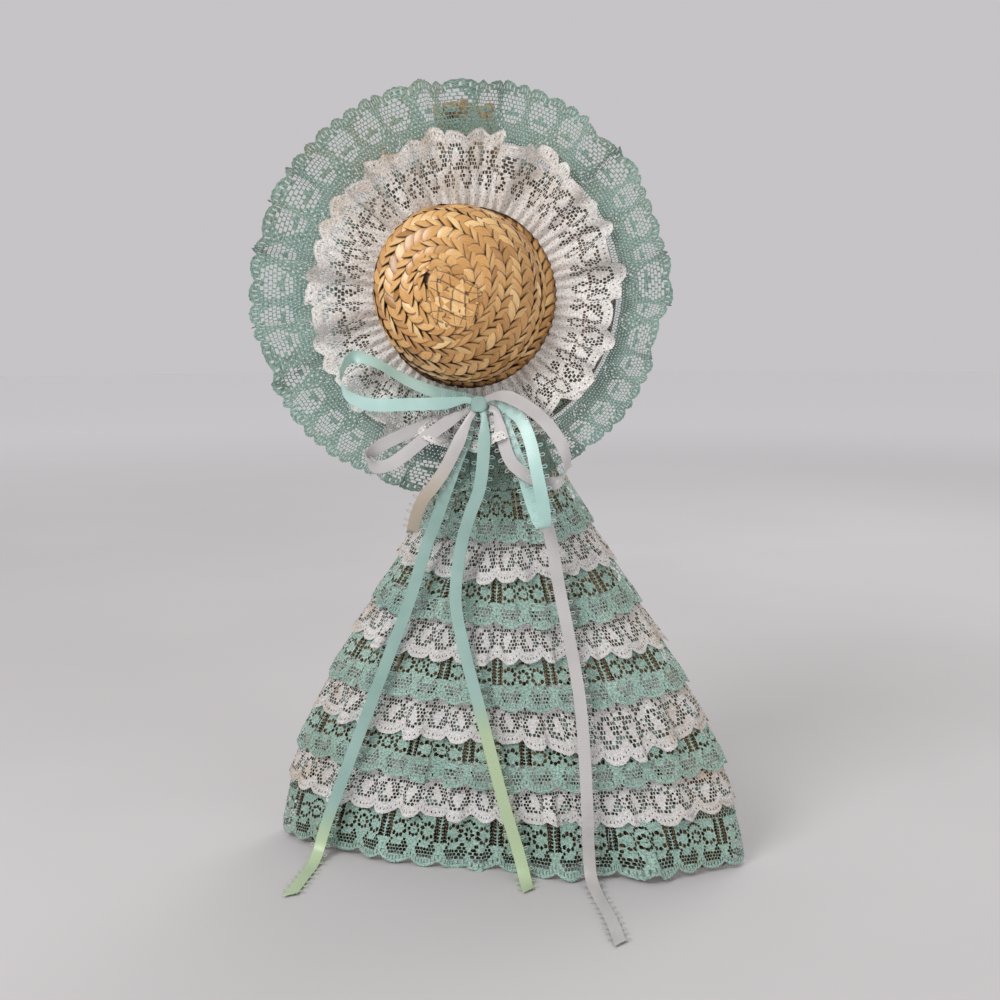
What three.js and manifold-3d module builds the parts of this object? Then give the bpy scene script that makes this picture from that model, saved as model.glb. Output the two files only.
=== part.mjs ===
// Broom doll: a whisk broom that stands on its straw and is dressed as a lady.
// A sewn straw hat faces forward on the handle, two gathered lace ruffles frame it, nine gathered
// rows of lace cover the fan as a skirt, and a double ribbon bow hangs below the crown.
// Millimetres, +Z up, the front faces -Y, the origin is on the floor under the middle of the fan.

import * as THREE from 'three';
import { mergeVertices } from 'three/addons/utils/BufferGeometryUtils.js';
import { RoundedBoxGeometry } from 'three/addons/geometries/RoundedBoxGeometry.js';
import Module from 'manifold-3d';

const wasm = await Module();
wasm.setup();

// Clearances
const SEAT_GAP = 0.35; // between pieces that touch on the real doll
const WELD = 1e-4; // points closer than this are one point

// Broom: fan, handle and twine
const BROOM_HEIGHT = 305;
const HANDLE_LENGTH = 127; // from the top of the broom down to the neck, where the fan starts
const SHOULDER_DROP = 50; // the straws are packed this far below the neck and hang free from there
const NECK_HALF_WIDTH = 15;
const NECK_HALF_DEPTH = 13.5;
const FAN_HALF_WIDTH = 95;
const FAN_HALF_DEPTH = 17.5;
const FAN_FLARE = 1.25; // how late the sides of the fan open out
const BUNDLE_SHARE = 1 / 3; // half-width of the middle bundle as a share of the fan's
const STRAND_PITCH_X = 2.1; // spacing of the straws where they leave the shoulder
const STRAND_PITCH_Y = 2.4;
const STRAND_ROOT = 0.75; // half-size of a straw at the shoulder
const STRAND_TIP_X = 1.9; // half-sizes of a straw's brush end
const STRAND_TIP_Y = 1.05;
const STRAND_BOW_Z = 55; // height where the outer straws bend back towards vertical
const STRAND_BOW_FROM = 0.8; // straws nearer the sides than this are bowed
const HANDLE_RADIUS = 13;
const STALK_COUNT = 14;
const STALK_CROWDING = 1.45; // how far the round stalks press into each other
const HANDLE_EDGE = 0.8;
const HANDLE_LEAN = 7.3; // degrees that the old broom's handle leans to one side of its fan
const TWINE = 1.6;
const TWINE_PITCH = 2.1;
const TWINE_STEPS = 24; // cuts in one turn of twine
const TWINE_SIDES = 6;
const NECK_TURNS = 3;
const HANDLE_TURNS = 2;
const SEWING_TURNS = 2;
const SEWING_LIFT = 1; // lowest turn of the sewing above the header of the first white row

// Lace
const LACE = 0.8; // thickness of the gathered lace with its relief
const MINT_WIDTH = 34;
const WHITE_WIDTH = 27;
const PAIR_COUNT = 5; // mint rows on the skirt, with a white row between each two
const SKIRT_TOP_DROP = 11; // header of the first row below the neck
const WHITE_DROP = 15; // lower edge of a white row below the mint row above it
const HEM_Z = 0.6;
const HEM_FLARE = 7;
const SKIRT_FOLD = 1.6; // half-depth of the gathers at a lower edge
const SKIRT_COLUMNS = 18;
const FOLD_UNEVENNESS = 0.2; // hand-made gathers are up to this share shallower
const SIDE_RISE = 7; // rows are this much higher at the sides than in the middle
const LACE_END_ANGLE = 112; // degrees from the front, where the rows end behind the sides

// Straw hat
const HAT_DROP = 76.5; // centre of the hat below the top of the broom
const HAT_SIDE = 2.5; // centre of the hat beside the middle of the handle
const HAT_PITCH = 3; // degrees that the hat looks up
const CROWN_RADIUS = 33.3;
const CROWN_HEIGHT = 40;
const CROWN_FILLET = 1.5;
const CROWN_TOP_WIDTH = 0.6; // how broad the top of the crown is before it turns down
const CROWN_SHOULDER = 0.82; // height of its rounding and of its straight wall, as shares
const CROWN_WALL = 0.32;
const BRIM_WIDTH = 21.7;
const HAT_WALL = 2;
const BRAID_RISE = 1; // each round of braid stands this proud of the next
const BRAID_TURNS = 12;
const BRAID_SINK = 0.45; // how far the inner half of a round dips under its outer edge, as a share
const HAT_COLUMNS = 28;
const TIP_SHIFT_X = -6; // the hand-sewn crown leans to one side
const TIP_SHIFT_UP = 5.5;
const GLUE_GAP = 2.4; // between the handle and the top of the brim
const GLUE_WIDTH = 15;
const GLUE_HEIGHT = 9;
const GLUE_INSET = 10; // upper glue below the top edge of the brim
const HAT_MINT_INSET = 11; // header of the mint ruffle inside the edge of the brim
const HAT_MINT_FOLD = 2;
const HAT_MINT_FLARE = 2.8;
const HAT_MINT_COLUMNS = 28;
const HAT_WHITE_STEP = 3.3; // gathered edge of the white ruffle outside the crown
const HAT_WHITE_WIDTH = 23;
const HAT_WHITE_FOLD = 2.5;
const HAT_WHITE_COLUMNS = 36;

// Bow
const RIBBON_WIDTH = 5.4;
const RIBBON = 0.6;
const KNOT_X = -4.2;
const KNOT_DROP = 6.3; // knot below the crown
const KNOT_WIDTH = 8;
const KNOT_HEIGHT = 9;
const KNOT_DEPTH = 6;
const DAB = 1.2; // thickness and height of the glue behind the knot
const DAB_HEIGHT = 5;

// Routes of the ribbons: x, y, z, and the turn in degrees of the ribbon's face from facing the front.
const MINT_LOOP_LEFT = [
  [-8.9, -33.2, 190.4, 0], [-15.8, -35.5, 189.4, 0], [-28, -39, 189, 0], [-46, -41.5, 189.3, 5],
  [-53.4, -42, 193.3, 50], [-55.6, -40.5, 200.2, 90], [-52, -38.5, 206.4, 130], [-43.4, -37, 204.6, 165],
  [-30.6, -34.5, 197.2, 180], [-18, -31.5, 192.3, 180], [-9, -29.6, 191.4, 180],
];
const WHITE_LOOP_LEFT = [
  [-8.9, -31.6, 186.2, 0], [-15.2, -35, 182.5, 0], [-22.3, -38.3, 177.3, 0], [-37, -41.5, 166.3, 0],
  [-43, -42.3, 165.6, 40], [-45.8, -41, 168.8, 90], [-41.6, -39, 172.8, 150], [-27.2, -35.8, 179.5, 180],
  [-15.4, -32, 183.8, 180], [-8.9, -29.4, 185.2, 180],
];
const WHITE_LOOP_RIGHT = [
  [0.3, -33.6, 191.4, 0], [7.2, -37, 192, 0], [19.2, -40.3, 185.7, 0], [27.1, -41, 176.8, 25],
  [30.3, -40.5, 168, 60], [28, -39.3, 161.1, 110], [23, -38.7, 159.9, 150], [15.7, -38.4, 162.4, 180],
  [9.2, -37.7, 167.4, 180], [5.5, -36.3, 176.1, 180], [3.7, -34.8, 182.5, 180], [2.3, -33.6, 186.5, 180],
];
const MINT_LOOP_RIGHT = [
  [1.2, -31.6, 189.9, 0], [6.5, -33.5, 187.3, 0], [11.8, -36, 184.2, 0], [16, -39.5, 176.9, 0],
  [19.7, -43, 163.1, 0], [22.2, -43, 149.3, 0], [21.8, -41.5, 143.5, 90], [20, -39, 145, 150],
  [17.1, -37.2, 151, 180], [12.8, -36.5, 164.7, 180], [10.2, -36.2, 171, 180], [6.7, -34, 179.2, 180],
  [4.2, -31.6, 185.6, 180], [2.3, -29.9, 189.5, 180],
];
const WHITE_TAIL_LEFT = [
  [-7.7, -33.4, 183.5, 0], [-12.4, -36.4, 172.6, 0], [-16.7, -37.2, 164.2, 0], [-20.3, -37, 158.9, 0],
  [-25.4, -34.5, 153, 0], [-29.8, -29.5, 145.5, 0], [-32.8, -24, 138, 0],
];
const MINT_TAIL_LEFT = [
  [-6.8, -30.4, 183, 0], [-9.2, -33, 176, 0], [-11.9, -34.9, 168.7, 0], [-16.6, -34.8, 156.2, 0],
  [-21.2, -31, 144.9, 0], [-26.3, -25.6, 134.3, 0], [-34.8, -22.4, 110, 0], [-47.7, -22.5, 76.6, 0],
  [-61.1, -22.5, 42.1, 0], [-68.8, -22.6, 22.1, 0], [-72.5, -22.9, 11.5, -15], [-74.2, -26, 3.8, -55],
  [-74.4, -32.5, 0.9, -90], [-74.4, -44, 0.7, -90], [-74.4, -60, 0.7, -90],
];
const MINT_TAIL_CENTRE = [
  [-2.1, -33.4, 184, 0], [-1.8, -36, 171.5, 0], [-3.5, -36.2, 157.3, 0], [-8.1, -33.2, 145.9, 0],
  [-12.5, -27.5, 133.3, 0], [-15.3, -26.1, 111.4, 0], [-11.7, -27, 91.6, 0], [-6, -27.7, 69.7, 0],
  [-0.4, -28.3, 47.6, 0], [4.9, -28.8, 27.4, 0], [10, -29.6, 11, -15], [12.6, -32, 3, -55],
  [14.2, -36, 0.7, -90], [15.8, -41, 0.7, -90],
];
const WHITE_TAIL_RIGHT = [
  [-0.7, -30.4, 184.1, 0], [4.3, -32.4, 177.6, 0], [10.4, -34.8, 170.5, 0], [16.1, -34.8, 160.9, 0],
  [19.7, -31.5, 149.3, 0], [22.3, -26.7, 137.6, 0], [25.7, -24.6, 116.4, 0], [29.7, -25.2, 96.8, 0],
  [33.9, -25.7, 73.1, 0], [36, -26.4, 49.1, 0], [37.2, -27.2, 28.7, 0], [38, -28.2, 11, -15],
  [39.4, -32, 3, -55], [43.2, -42, 0.7, -90], [49, -58, 0.7, -90], [54.4, -77, 0.7, -90],
];

// Finishes
const straw = new THREE.MeshStandardMaterial({ color: 0xb98a4c, roughness: 0.55, metalness: 0 });
const broomcorn = new THREE.MeshStandardMaterial({ color: 0xa3804f, roughness: 0.75, metalness: 0 });
const twine = new THREE.MeshStandardMaterial({ color: 0xcbb68c, roughness: 0.85, metalness: 0 });
const mintLace = new THREE.MeshStandardMaterial({ color: 0x8fc4b2, roughness: 0.9, metalness: 0 });
const whiteLace = new THREE.MeshStandardMaterial({ color: 0xe9e4e0, roughness: 0.9, metalness: 0 });
const mintSatin = new THREE.MeshStandardMaterial({ color: 0xa9ddce, roughness: 0.35, metalness: 0 });
const whiteSatin = new THREE.MeshStandardMaterial({ color: 0xe4ddd8, roughness: 0.35, metalness: 0 });
const glue = new THREE.MeshStandardMaterial({ color: 0xd8cfa8, roughness: 0.3, metalness: 0 });

// Heights and places worked out from the sizes above
const NECK_Z = BROOM_HEIGHT - HANDLE_LENGTH;
const SHOULDER_Z = NECK_Z - SHOULDER_DROP;
const HAT_Z = BROOM_HEIGHT - HAT_DROP;
const BRIM_RADIUS = CROWN_RADIUS + BRIM_WIDTH;
const PITCH = THREE.MathUtils.degToRad(HAT_PITCH);
const HAT_BACK_Y = -(HANDLE_RADIUS + GLUE_GAP) - BRIM_RADIUS * Math.sin(PITCH);
const BRIM_FRONT = HAT_WALL + BRAID_RISE + SEAT_GAP;
const HAT_MINT_INNER = BRIM_RADIUS - HAT_MINT_INSET;
const HAT_WHITE_INNER = CROWN_RADIUS + HAT_WHITE_STEP;
const PAIR_PITCH = (NECK_Z - SKIRT_TOP_DROP - MINT_WIDTH - HEM_Z) / (PAIR_COUNT - 1);
const WHITE_TOP_Z = NECK_Z - SKIRT_TOP_DROP - MINT_WIDTH - WHITE_DROP + WHITE_WIDTH; // first white row
const SEWN_Z = WHITE_TOP_Z + SEWING_LIFT + TWINE / 2 + SEWING_TURNS * TWINE_PITCH;
const TWINE_RADIUS = (HANDLE_RADIUS + SEAT_GAP + TWINE / 2) / Math.cos(Math.PI / TWINE_STEPS);
const NECK_TWINE_Z = NECK_Z + 2 * SEAT_GAP;
const HANDLE_TWINE_Z = HAT_Z + CROWN_RADIUS / 2;

// How far the handle has leant to the side at a height.
const LEAN = Math.tan(THREE.MathUtils.degToRad(HANDLE_LEAN));
function leanAt(z) {
  return LEAN * (NECK_Z - z);
}

const doll = new THREE.Group();
const hat = new THREE.Group();
hat.position.set(leanAt(HAT_Z) - HAT_SIDE, HAT_BACK_Y, HAT_Z);
hat.rotation.x = Math.PI / 2 - PITCH;
doll.add(hat);

function addPart(parent, name, geometry, material) {
  const mesh = new THREE.Mesh(geometry, material);
  mesh.name = name;
  parent.add(mesh);
  return mesh;
}

// A closed body from points and triangles: shared points are welded and the faces turned outwards.
function closedBody(points, triangles) {
  const loose = new THREE.BufferGeometry();
  const coordinates = points.flatMap((point) => point.toArray());
  loose.setAttribute('position', new THREE.Float32BufferAttribute(coordinates, 3));
  loose.setIndex(triangles.flat());
  const body = mergeVertices(loose, WELD);
  const corners = body.getAttribute('position');
  const a = new THREE.Vector3();
  const b = new THREE.Vector3();
  const c = new THREE.Vector3();
  const kept = [];
  let volume = 0;
  for (let i = 0; i < body.index.count; i += 3) {
    const face = [body.index.getX(i), body.index.getX(i + 1), body.index.getX(i + 2)];
    if (new Set(face).size === 3) {
      kept.push(face);
      a.fromBufferAttribute(corners, face[0]);
      b.fromBufferAttribute(corners, face[1]);
      c.fromBufferAttribute(corners, face[2]);
      volume += a.dot(b.cross(c));
    }
  }
  body.setIndex(kept.flatMap((face) => (volume > 0 ? face : [face[0], face[2], face[1]])));
  body.computeVertexNormals();
  return body;
}

function quad(triangles, a, b, c, d) {
  triangles.push([a, b, c], [a, c, d]);
}

// Skins a row of rings that have the same number of points, with flat ends. On a strip the quads of
// both faces are split along the same diagonal, so it keeps its thickness where it twists.
function loft(rings, isStrip = false) {
  const sides = rings[0].length;
  const points = rings.flat();
  const triangles = [];
  for (let ring = 0; ring + 1 < rings.length; ring += 1) {
    for (let side = 0; side < sides; side += 1) {
      const next = (side + 1) % sides;
      const low = ring * sides;
      const corners = [low + side, low + next, low + sides + next, low + sides + side];
      if (isStrip && side >= sides / 2) corners.push(corners.shift());
      quad(triangles, ...corners);
    }
  }
  const last = (rings.length - 1) * sides;
  for (let side = 1; side + 1 < sides; side += 1) {
    triangles.push([0, side + 1, side], [last, last + side, last + side + 1]);
  }
  return closedBody(points, triangles);
}

// A sheet with thickness: place(column, row, side) gives its points, side 0 behind and 1 in front.
function sheet(columns, rows, isRing, place) {
  const points = [];
  for (let side = 0; side < 2; side += 1) {
    for (let column = 0; column < columns; column += 1) {
      for (let row = 0; row < rows; row += 1) points.push(place(column, row, side));
    }
  }
  const at = (column, row, side) => (side * columns + (column % columns)) * rows + row;
  const triangles = [];
  const spans = isRing ? columns : columns - 1;
  for (let column = 0; column < spans; column += 1) {
    const next = column + 1;
    for (let row = 0; row + 1 < rows; row += 1) {
      quad(triangles, at(column, row, 0), at(column, row + 1, 0), at(next, row + 1, 0), at(next, row, 0));
      quad(triangles, at(column, row, 1), at(next, row, 1), at(next, row + 1, 1), at(column, row + 1, 1));
    }
    const end = rows - 1;
    quad(triangles, at(column, 0, 0), at(next, 0, 0), at(next, 0, 1), at(column, 0, 1));
    quad(triangles, at(column, end, 0), at(column, end, 1), at(next, end, 1), at(next, end, 0));
  }
  if (!isRing) {
    const end = columns - 1;
    for (let row = 0; row + 1 < rows; row += 1) {
      quad(triangles, at(0, row, 0), at(0, row, 1), at(0, row + 1, 1), at(0, row + 1, 0));
      quad(triangles, at(end, row, 0), at(end, row + 1, 0), at(end, row + 1, 1), at(end, row, 1));
    }
  }
  return closedBody(points, triangles);
}

function toSolid(geometry) {
  const bare = geometry.clone();
  bare.deleteAttribute('normal');
  bare.deleteAttribute('uv');
  const welded = mergeVertices(bare, WELD);
  return new wasm.Manifold(new wasm.Mesh({
    numProp: 3,
    vertProperties: new Float32Array(welded.getAttribute('position').array),
    triVerts: new Uint32Array(welded.index.array),
  }));
}

function fromSolid(solid) {
  const mesh = solid.getMesh();
  const geometry = new THREE.BufferGeometry();
  const coordinates = new Float32Array(mesh.vertProperties);
  geometry.setAttribute('position', new THREE.BufferAttribute(coordinates, mesh.numProp));
  geometry.setIndex(new THREE.BufferAttribute(new Uint32Array(mesh.triVerts), 1));
  geometry.computeVertexNormals();
  return geometry;
}

// Outline of the fan
function fanShare(z) {
  return THREE.MathUtils.clamp(1 - z / NECK_Z, 0, 1);
}

function halfWidth(z) {
  const opening = Math.sin((Math.PI / 2) * fanShare(z) ** FAN_FLARE);
  return NECK_HALF_WIDTH + (FAN_HALF_WIDTH - NECK_HALF_WIDTH) * opening;
}

function halfDepth(z) {
  return NECK_HALF_DEPTH + (FAN_HALF_DEPTH - NECK_HALF_DEPTH) * fanShare(z);
}

// Point round the fan: angle 0 is the middle of the front, a quarter turn is the side. A spread over 1
// makes room for the flats between the columns of a faceted sheet.
function fanPoint(angle, z, offset, spread = 1) {
  const x = (halfWidth(z) * spread + offset) * Math.sin(angle);
  const y = -(halfDepth(z) * spread + offset) * Math.cos(angle);
  return new THREE.Vector3(x, y, z);
}

// The rows of lace and the sewn twine climb towards the sides.
function sideRise(angle) {
  return SIDE_RISE * Math.sin(angle) ** 2;
}

// Angles that divide the fan's outline into steps of one length, between the two ends of the lace.
function evenAngles(count) {
  const samples = 400;
  const end = THREE.MathUtils.degToRad(LACE_END_ANGLE);
  const middle = SHOULDER_Z / 2;
  const angles = [];
  const lengths = [];
  let length = 0;
  for (let i = 0; i <= samples; i += 1) {
    const angle = -end + (2 * end * i) / samples;
    if (i > 0) length += fanPoint(angle, middle, 0).distanceTo(fanPoint(angles[i - 1], middle, 0));
    angles.push(angle);
    lengths.push(length);
  }
  return Array.from({ length: count }, (_, step) => {
    const wanted = (length * step) / (count - 1);
    return angles[lengths.findIndex((value) => value >= wanted - WELD)];
  });
}

// Straw of the fan
function strand(xi, eta, isFlipped) {
  const bowed = Math.abs(xi) > STRAND_BOW_FROM;
  const heights = bowed ? [SHOULDER_Z, STRAND_BOW_Z, 0] : [SHOULDER_Z, 0];
  const rings = heights.map((z) => {
    const fall = 1 - z / SHOULDER_Z;
    const sizeX = THREE.MathUtils.lerp(STRAND_ROOT, STRAND_TIP_X, fall);
    const sizeY = THREE.MathUtils.lerp(STRAND_ROOT, STRAND_TIP_Y, fall) * (isFlipped ? -1 : 1);
    const x = xi * halfWidth(z);
    const y = eta * halfDepth(z);
    const corners = [[-sizeX, -sizeY], [sizeX, -sizeY], [0, sizeY]];
    return corners.map(([dx, dy]) => new THREE.Vector3(x + dx, y + dy, z));
  });
  return toSolid(loft(rings));
}

// Straws stand on a staggered grid inside the oval of the shoulder, one of them on the origin.
function strandPlaces() {
  const width = halfWidth(SHOULDER_Z);
  const depth = halfDepth(SHOULDER_Z);
  const splitAt = BUNDLE_SHARE * width;
  const rowsEachWay = Math.floor(depth / STRAND_PITCH_Y);
  const stepsEachWay = Math.ceil(width / STRAND_PITCH_X);
  const places = [];
  for (let row = -rowsEachWay; row <= rowsEachWay; row += 1) {
    for (let step = -stepsEachWay; step <= stepsEachWay; step += 1) {
      const x = (step + (row % 2 === 0 ? 0 : 0.5)) * STRAND_PITCH_X;
      const y = row * STRAND_PITCH_Y;
      const inside = (x / (width - STRAND_TIP_X)) ** 2 + (y / (depth - STRAND_TIP_Y)) ** 2 <= 1;
      const clearOfSplit = Math.abs(Math.abs(x) - splitAt) > STRAND_ROOT + SEAT_GAP;
      const isFlipped = (row + step) % 2 !== 0;
      if (inside && clearOfSplit) places.push({ x, xi: x / width, eta: y / depth, isFlipped });
    }
  }
  return places;
}

function shoulder() {
  const sections = 4;
  const sides = 20;
  const rings = Array.from({ length: sections + 1 }, (_, section) => {
    const z = THREE.MathUtils.lerp(SHOULDER_Z, NECK_Z, section / sections);
    return Array.from({ length: sides }, (__, side) => fanPoint((2 * Math.PI * side) / sides, z, 0));
  });
  return toSolid(loft(rings));
}

// Wedge that holds the middle bundle of straw, wider by margin on each side.
function middleWedge(margin) {
  const low = BUNDLE_SHARE * halfWidth(SHOULDER_Z) + margin;
  const high = BUNDLE_SHARE * halfWidth(NECK_Z) + margin;
  const front = 2 * halfDepth(0);
  const profile = [[-low, SHOULDER_Z], [low, SHOULDER_Z], [high, NECK_Z], [-high, NECK_Z]];
  const ring = (y) => profile.map(([x, z]) => new THREE.Vector3(x, y, z));
  return toSolid(loft([ring(-front), ring(front)]));
}

function buildFan() {
  const packed = shoulder();
  const reach = 2 * FAN_HALF_WIDTH;
  const halfBox = new THREE.BoxGeometry(reach, reach, 2 * NECK_Z);
  const sides = packed.subtract(middleWedge(SEAT_GAP / 2));
  const heads = {
    bristles_left: sides.intersect(toSolid(halfBox.clone().translate(-reach / 2, 0, NECK_Z))),
    bristles_centre: packed.intersect(middleWedge(-SEAT_GAP / 2)),
    bristles_right: sides.intersect(toSolid(halfBox.clone().translate(reach / 2, 0, NECK_Z))),
  };
  const strands = { bristles_left: [], bristles_centre: [], bristles_right: [] };
  const splitAt = BUNDLE_SHARE * halfWidth(SHOULDER_Z);
  for (const { x, xi, eta, isFlipped } of strandPlaces()) {
    const outer = x < 0 ? 'bristles_left' : 'bristles_right';
    strands[Math.abs(x) < splitAt ? 'bristles_centre' : outer].push(strand(xi, eta, isFlipped));
  }
  for (const [name, head] of Object.entries(heads)) {
    addPart(doll, name, fromSolid(wasm.Manifold.union([head, ...strands[name]])), broomcorn);
  }
  const count = Object.values(strands).reduce((sum, list) => sum + list.length, 0);
  console.log(`straws in the fan: ${count}`);
}

// The handle is the bound bundle of stalks, so its section is a ring of round stalks.
function buildHandle() {
  const half = Math.PI / STALK_COUNT;
  const crowding = STALK_CROWDING * Math.sin(half);
  const centre = (HANDLE_RADIUS - HANDLE_EDGE) / (1 + crowding);
  const stalkRadius = crowding * centre;
  const valley = centre * Math.cos(half) + Math.sqrt(stalkRadius ** 2 - (centre * Math.sin(half)) ** 2);
  const sweep = Math.atan2(valley * Math.sin(half), valley * Math.cos(half) - centre);
  const outline = new THREE.Shape();
  for (let stalk = 0; stalk < STALK_COUNT; stalk += 1) {
    const angle = 2 * half * stalk;
    const x = centre * Math.cos(angle);
    const y = centre * Math.sin(angle);
    outline.absarc(x, y, stalkRadius, angle - sweep, angle + sweep);
  }
  const bottom = NECK_Z + SEAT_GAP;
  const stalks = new THREE.ExtrudeGeometry(outline, {
    depth: BROOM_HEIGHT - bottom - 2 * HANDLE_EDGE,
    curveSegments: 3,
    bevelSize: HANDLE_EDGE,
    bevelThickness: HANDLE_EDGE,
    bevelSegments: 1,
  });
  stalks.translate(0, 0, bottom + HANDLE_EDGE - NECK_Z);
  stalks.applyMatrix4(new THREE.Matrix4().makeShear(0, 0, 0, 0, -LEAN, 0));
  stalks.translate(0, 0, NECK_Z);
  addPart(doll, 'handle_stalks', fromSolid(toSolid(stalks)), broomcorn);
}

// One unbroken tube of twine. route(turn) gives its middle line and outward(turn) points away from
// what it is wound on. The last diameter at each end runs straight.
function woundTwine(name, turns, route, outward) {
  const count = Math.round(turns * TWINE_STEPS);
  const line = Array.from({ length: count + 1 }, (_, i) => route(i / TWINE_STEPS));
  const first = line[0].clone().add(line[0].clone().sub(line[1]).setLength(TWINE));
  const last = line[count].clone().add(line[count].clone().sub(line[count - 1]).setLength(TWINE));
  const path = [first, ...line, last];
  const rings = path.map((point, i) => {
    const before = path[Math.max(i - 1, 0)];
    const after = path[Math.min(i + 1, path.length - 1)];
    const ahead = after.clone().sub(before).normalize();
    const up = outward((i - 1) / TWINE_STEPS);
    const across = ahead.clone().cross(up).normalize();
    const away = across.clone().cross(ahead);
    return Array.from({ length: TWINE_SIDES }, (__, side) => {
      const angle = (2 * Math.PI * (side + 0.5)) / TWINE_SIDES;
      return point.clone()
        .addScaledVector(away, (TWINE / 2) * Math.cos(angle))
        .addScaledVector(across, (TWINE / 2) * Math.sin(angle));
    });
  });
  let least = Infinity;
  for (let i = 0; i < path.length; i += 1) {
    for (let j = i + TWINE_STEPS / 2; j < path.length; j += 1) {
      least = Math.min(least, path[i].distanceTo(path[j]) - TWINE);
    }
  }
  console.log(`${name}: least gap to itself ${least.toFixed(2)} mm`);
  addPart(doll, name, loft(rings), twine);
}

function bindHandle(name, bottom, turns) {
  const outward = (turn) => new THREE.Vector3(Math.sin(2 * Math.PI * turn), Math.cos(2 * Math.PI * turn), 0);
  const route = (turn) => {
    const z = bottom + TWINE / 2 + turn * TWINE_PITCH;
    return outward(turn).multiplyScalar(TWINE_RADIUS).add(new THREE.Vector3(leanAt(z), 0, z));
  };
  woundTwine(name, turns, route, outward);
}

function sewFan() {
  const angleAt = (turn) => Math.PI - 2 * Math.PI * turn;
  const route = (turn) => {
    const angle = angleAt(turn);
    return fanPoint(angle, SEWN_Z + sideRise(angle) - turn * TWINE_PITCH, 2 * SEAT_GAP + TWINE / 2);
  };
  const outward = (turn) => new THREE.Vector3(Math.sin(angleAt(turn)), -Math.cos(angleAt(turn)), 0);
  woundTwine('sewing_twine', SEWING_TURNS, route, outward);
}

// Skirt. Each row hangs from a gathered header that lies on the straw, and flares just enough to clear
// the row below it with the gathers of both.
function skirtRows() {
  const rows = [];
  for (let pair = 1; pair <= PAIR_COUNT; pair += 1) {
    const bottom = HEM_Z + (PAIR_COUNT - pair) * PAIR_PITCH;
    rows.push({ name: `mint_row_${pair}`, bottom, width: MINT_WIDTH, material: mintLace });
    if (pair < PAIR_COUNT) {
      const lower = bottom - WHITE_DROP;
      rows.push({ name: `white_row_${pair}`, bottom: lower, width: WHITE_WIDTH, material: whiteLace });
    }
  }
  for (let i = rows.length - 1; i >= 0; i -= 1) {
    const row = rows[i];
    const below = rows[i + 1];
    row.top = row.bottom + row.width;
    row.flare = below ? flareOver(row, below) : HEM_FLARE;
  }
  const sewnDepth = (rows[0].top - SEWN_Z - TWINE / 2) / rows[0].width;
  const overTwine = (3 * SEAT_GAP + TWINE) / sewnDepth + SKIRT_FOLD;
  rows[0].flare = Math.max(rows[0].flare, overTwine);
  return rows;
}

// Depth of one gather as a share of the deepest.
function foldShare(gather) {
  return 1 - FOLD_UNEVENNESS * (1 + Math.sin(2 * gather)) / 2;
}

function flareOver(row, below) {
  const step = LACE + SEAT_GAP;
  const headerDepth = (row.top - below.top) / row.width;
  const overHeader = step / headerDepth + SKIRT_FOLD;
  const belowDepth = (below.top - row.bottom) / below.width;
  const overEdge = (below.flare + SKIRT_FOLD) * belowDepth + step + SKIRT_FOLD;
  return Math.max(overHeader, overEdge);
}

function buildSkirt() {
  const angles = evenAngles(SKIRT_COLUMNS);
  const widest = Math.max(...angles.slice(1).map((angle, i) => angle - angles[i]));
  const spread = 1 / Math.cos(widest / 2);
  const levels = 3;
  skirtRows().forEach((row, index) => {
    const place = (column, level, side) => {
      const drop = level / (levels - 1);
      const angle = angles[column];
      const depth = SKIRT_FOLD * foldShare(column + SKIRT_COLUMNS * index);
      const fold = (column + index) % 2 === 0 ? depth : -depth;
      const offset = SEAT_GAP + (row.flare + fold) * drop + side * LACE;
      return fanPoint(angle, row.top - row.width * drop + sideRise(angle), offset, spread);
    };
    addPart(doll, row.name, sheet(SKIRT_COLUMNS, levels, false, place), row.material);
  });
}

// Straw hat, modelled with its axis along +Z and the back of the brim at zero. One braid is sewn in a
// spiral from the tip to the edge of the brim, so each round stands proud of the round outside it.
function hatProfile() {
  const profile = new THREE.Path();
  profile.moveTo(0, CROWN_HEIGHT);
  profile.bezierCurveTo(
    CROWN_TOP_WIDTH * CROWN_RADIUS, CROWN_HEIGHT,
    CROWN_RADIUS, CROWN_SHOULDER * CROWN_HEIGHT,
    CROWN_RADIUS, CROWN_WALL * CROWN_HEIGHT,
  );
  profile.lineTo(CROWN_RADIUS, HAT_WALL + CROWN_FILLET);
  profile.quadraticCurveTo(CROWN_RADIUS, HAT_WALL, CROWN_RADIUS + CROWN_FILLET, HAT_WALL);
  profile.lineTo(BRIM_RADIUS, HAT_WALL);
  return profile;
}

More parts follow.
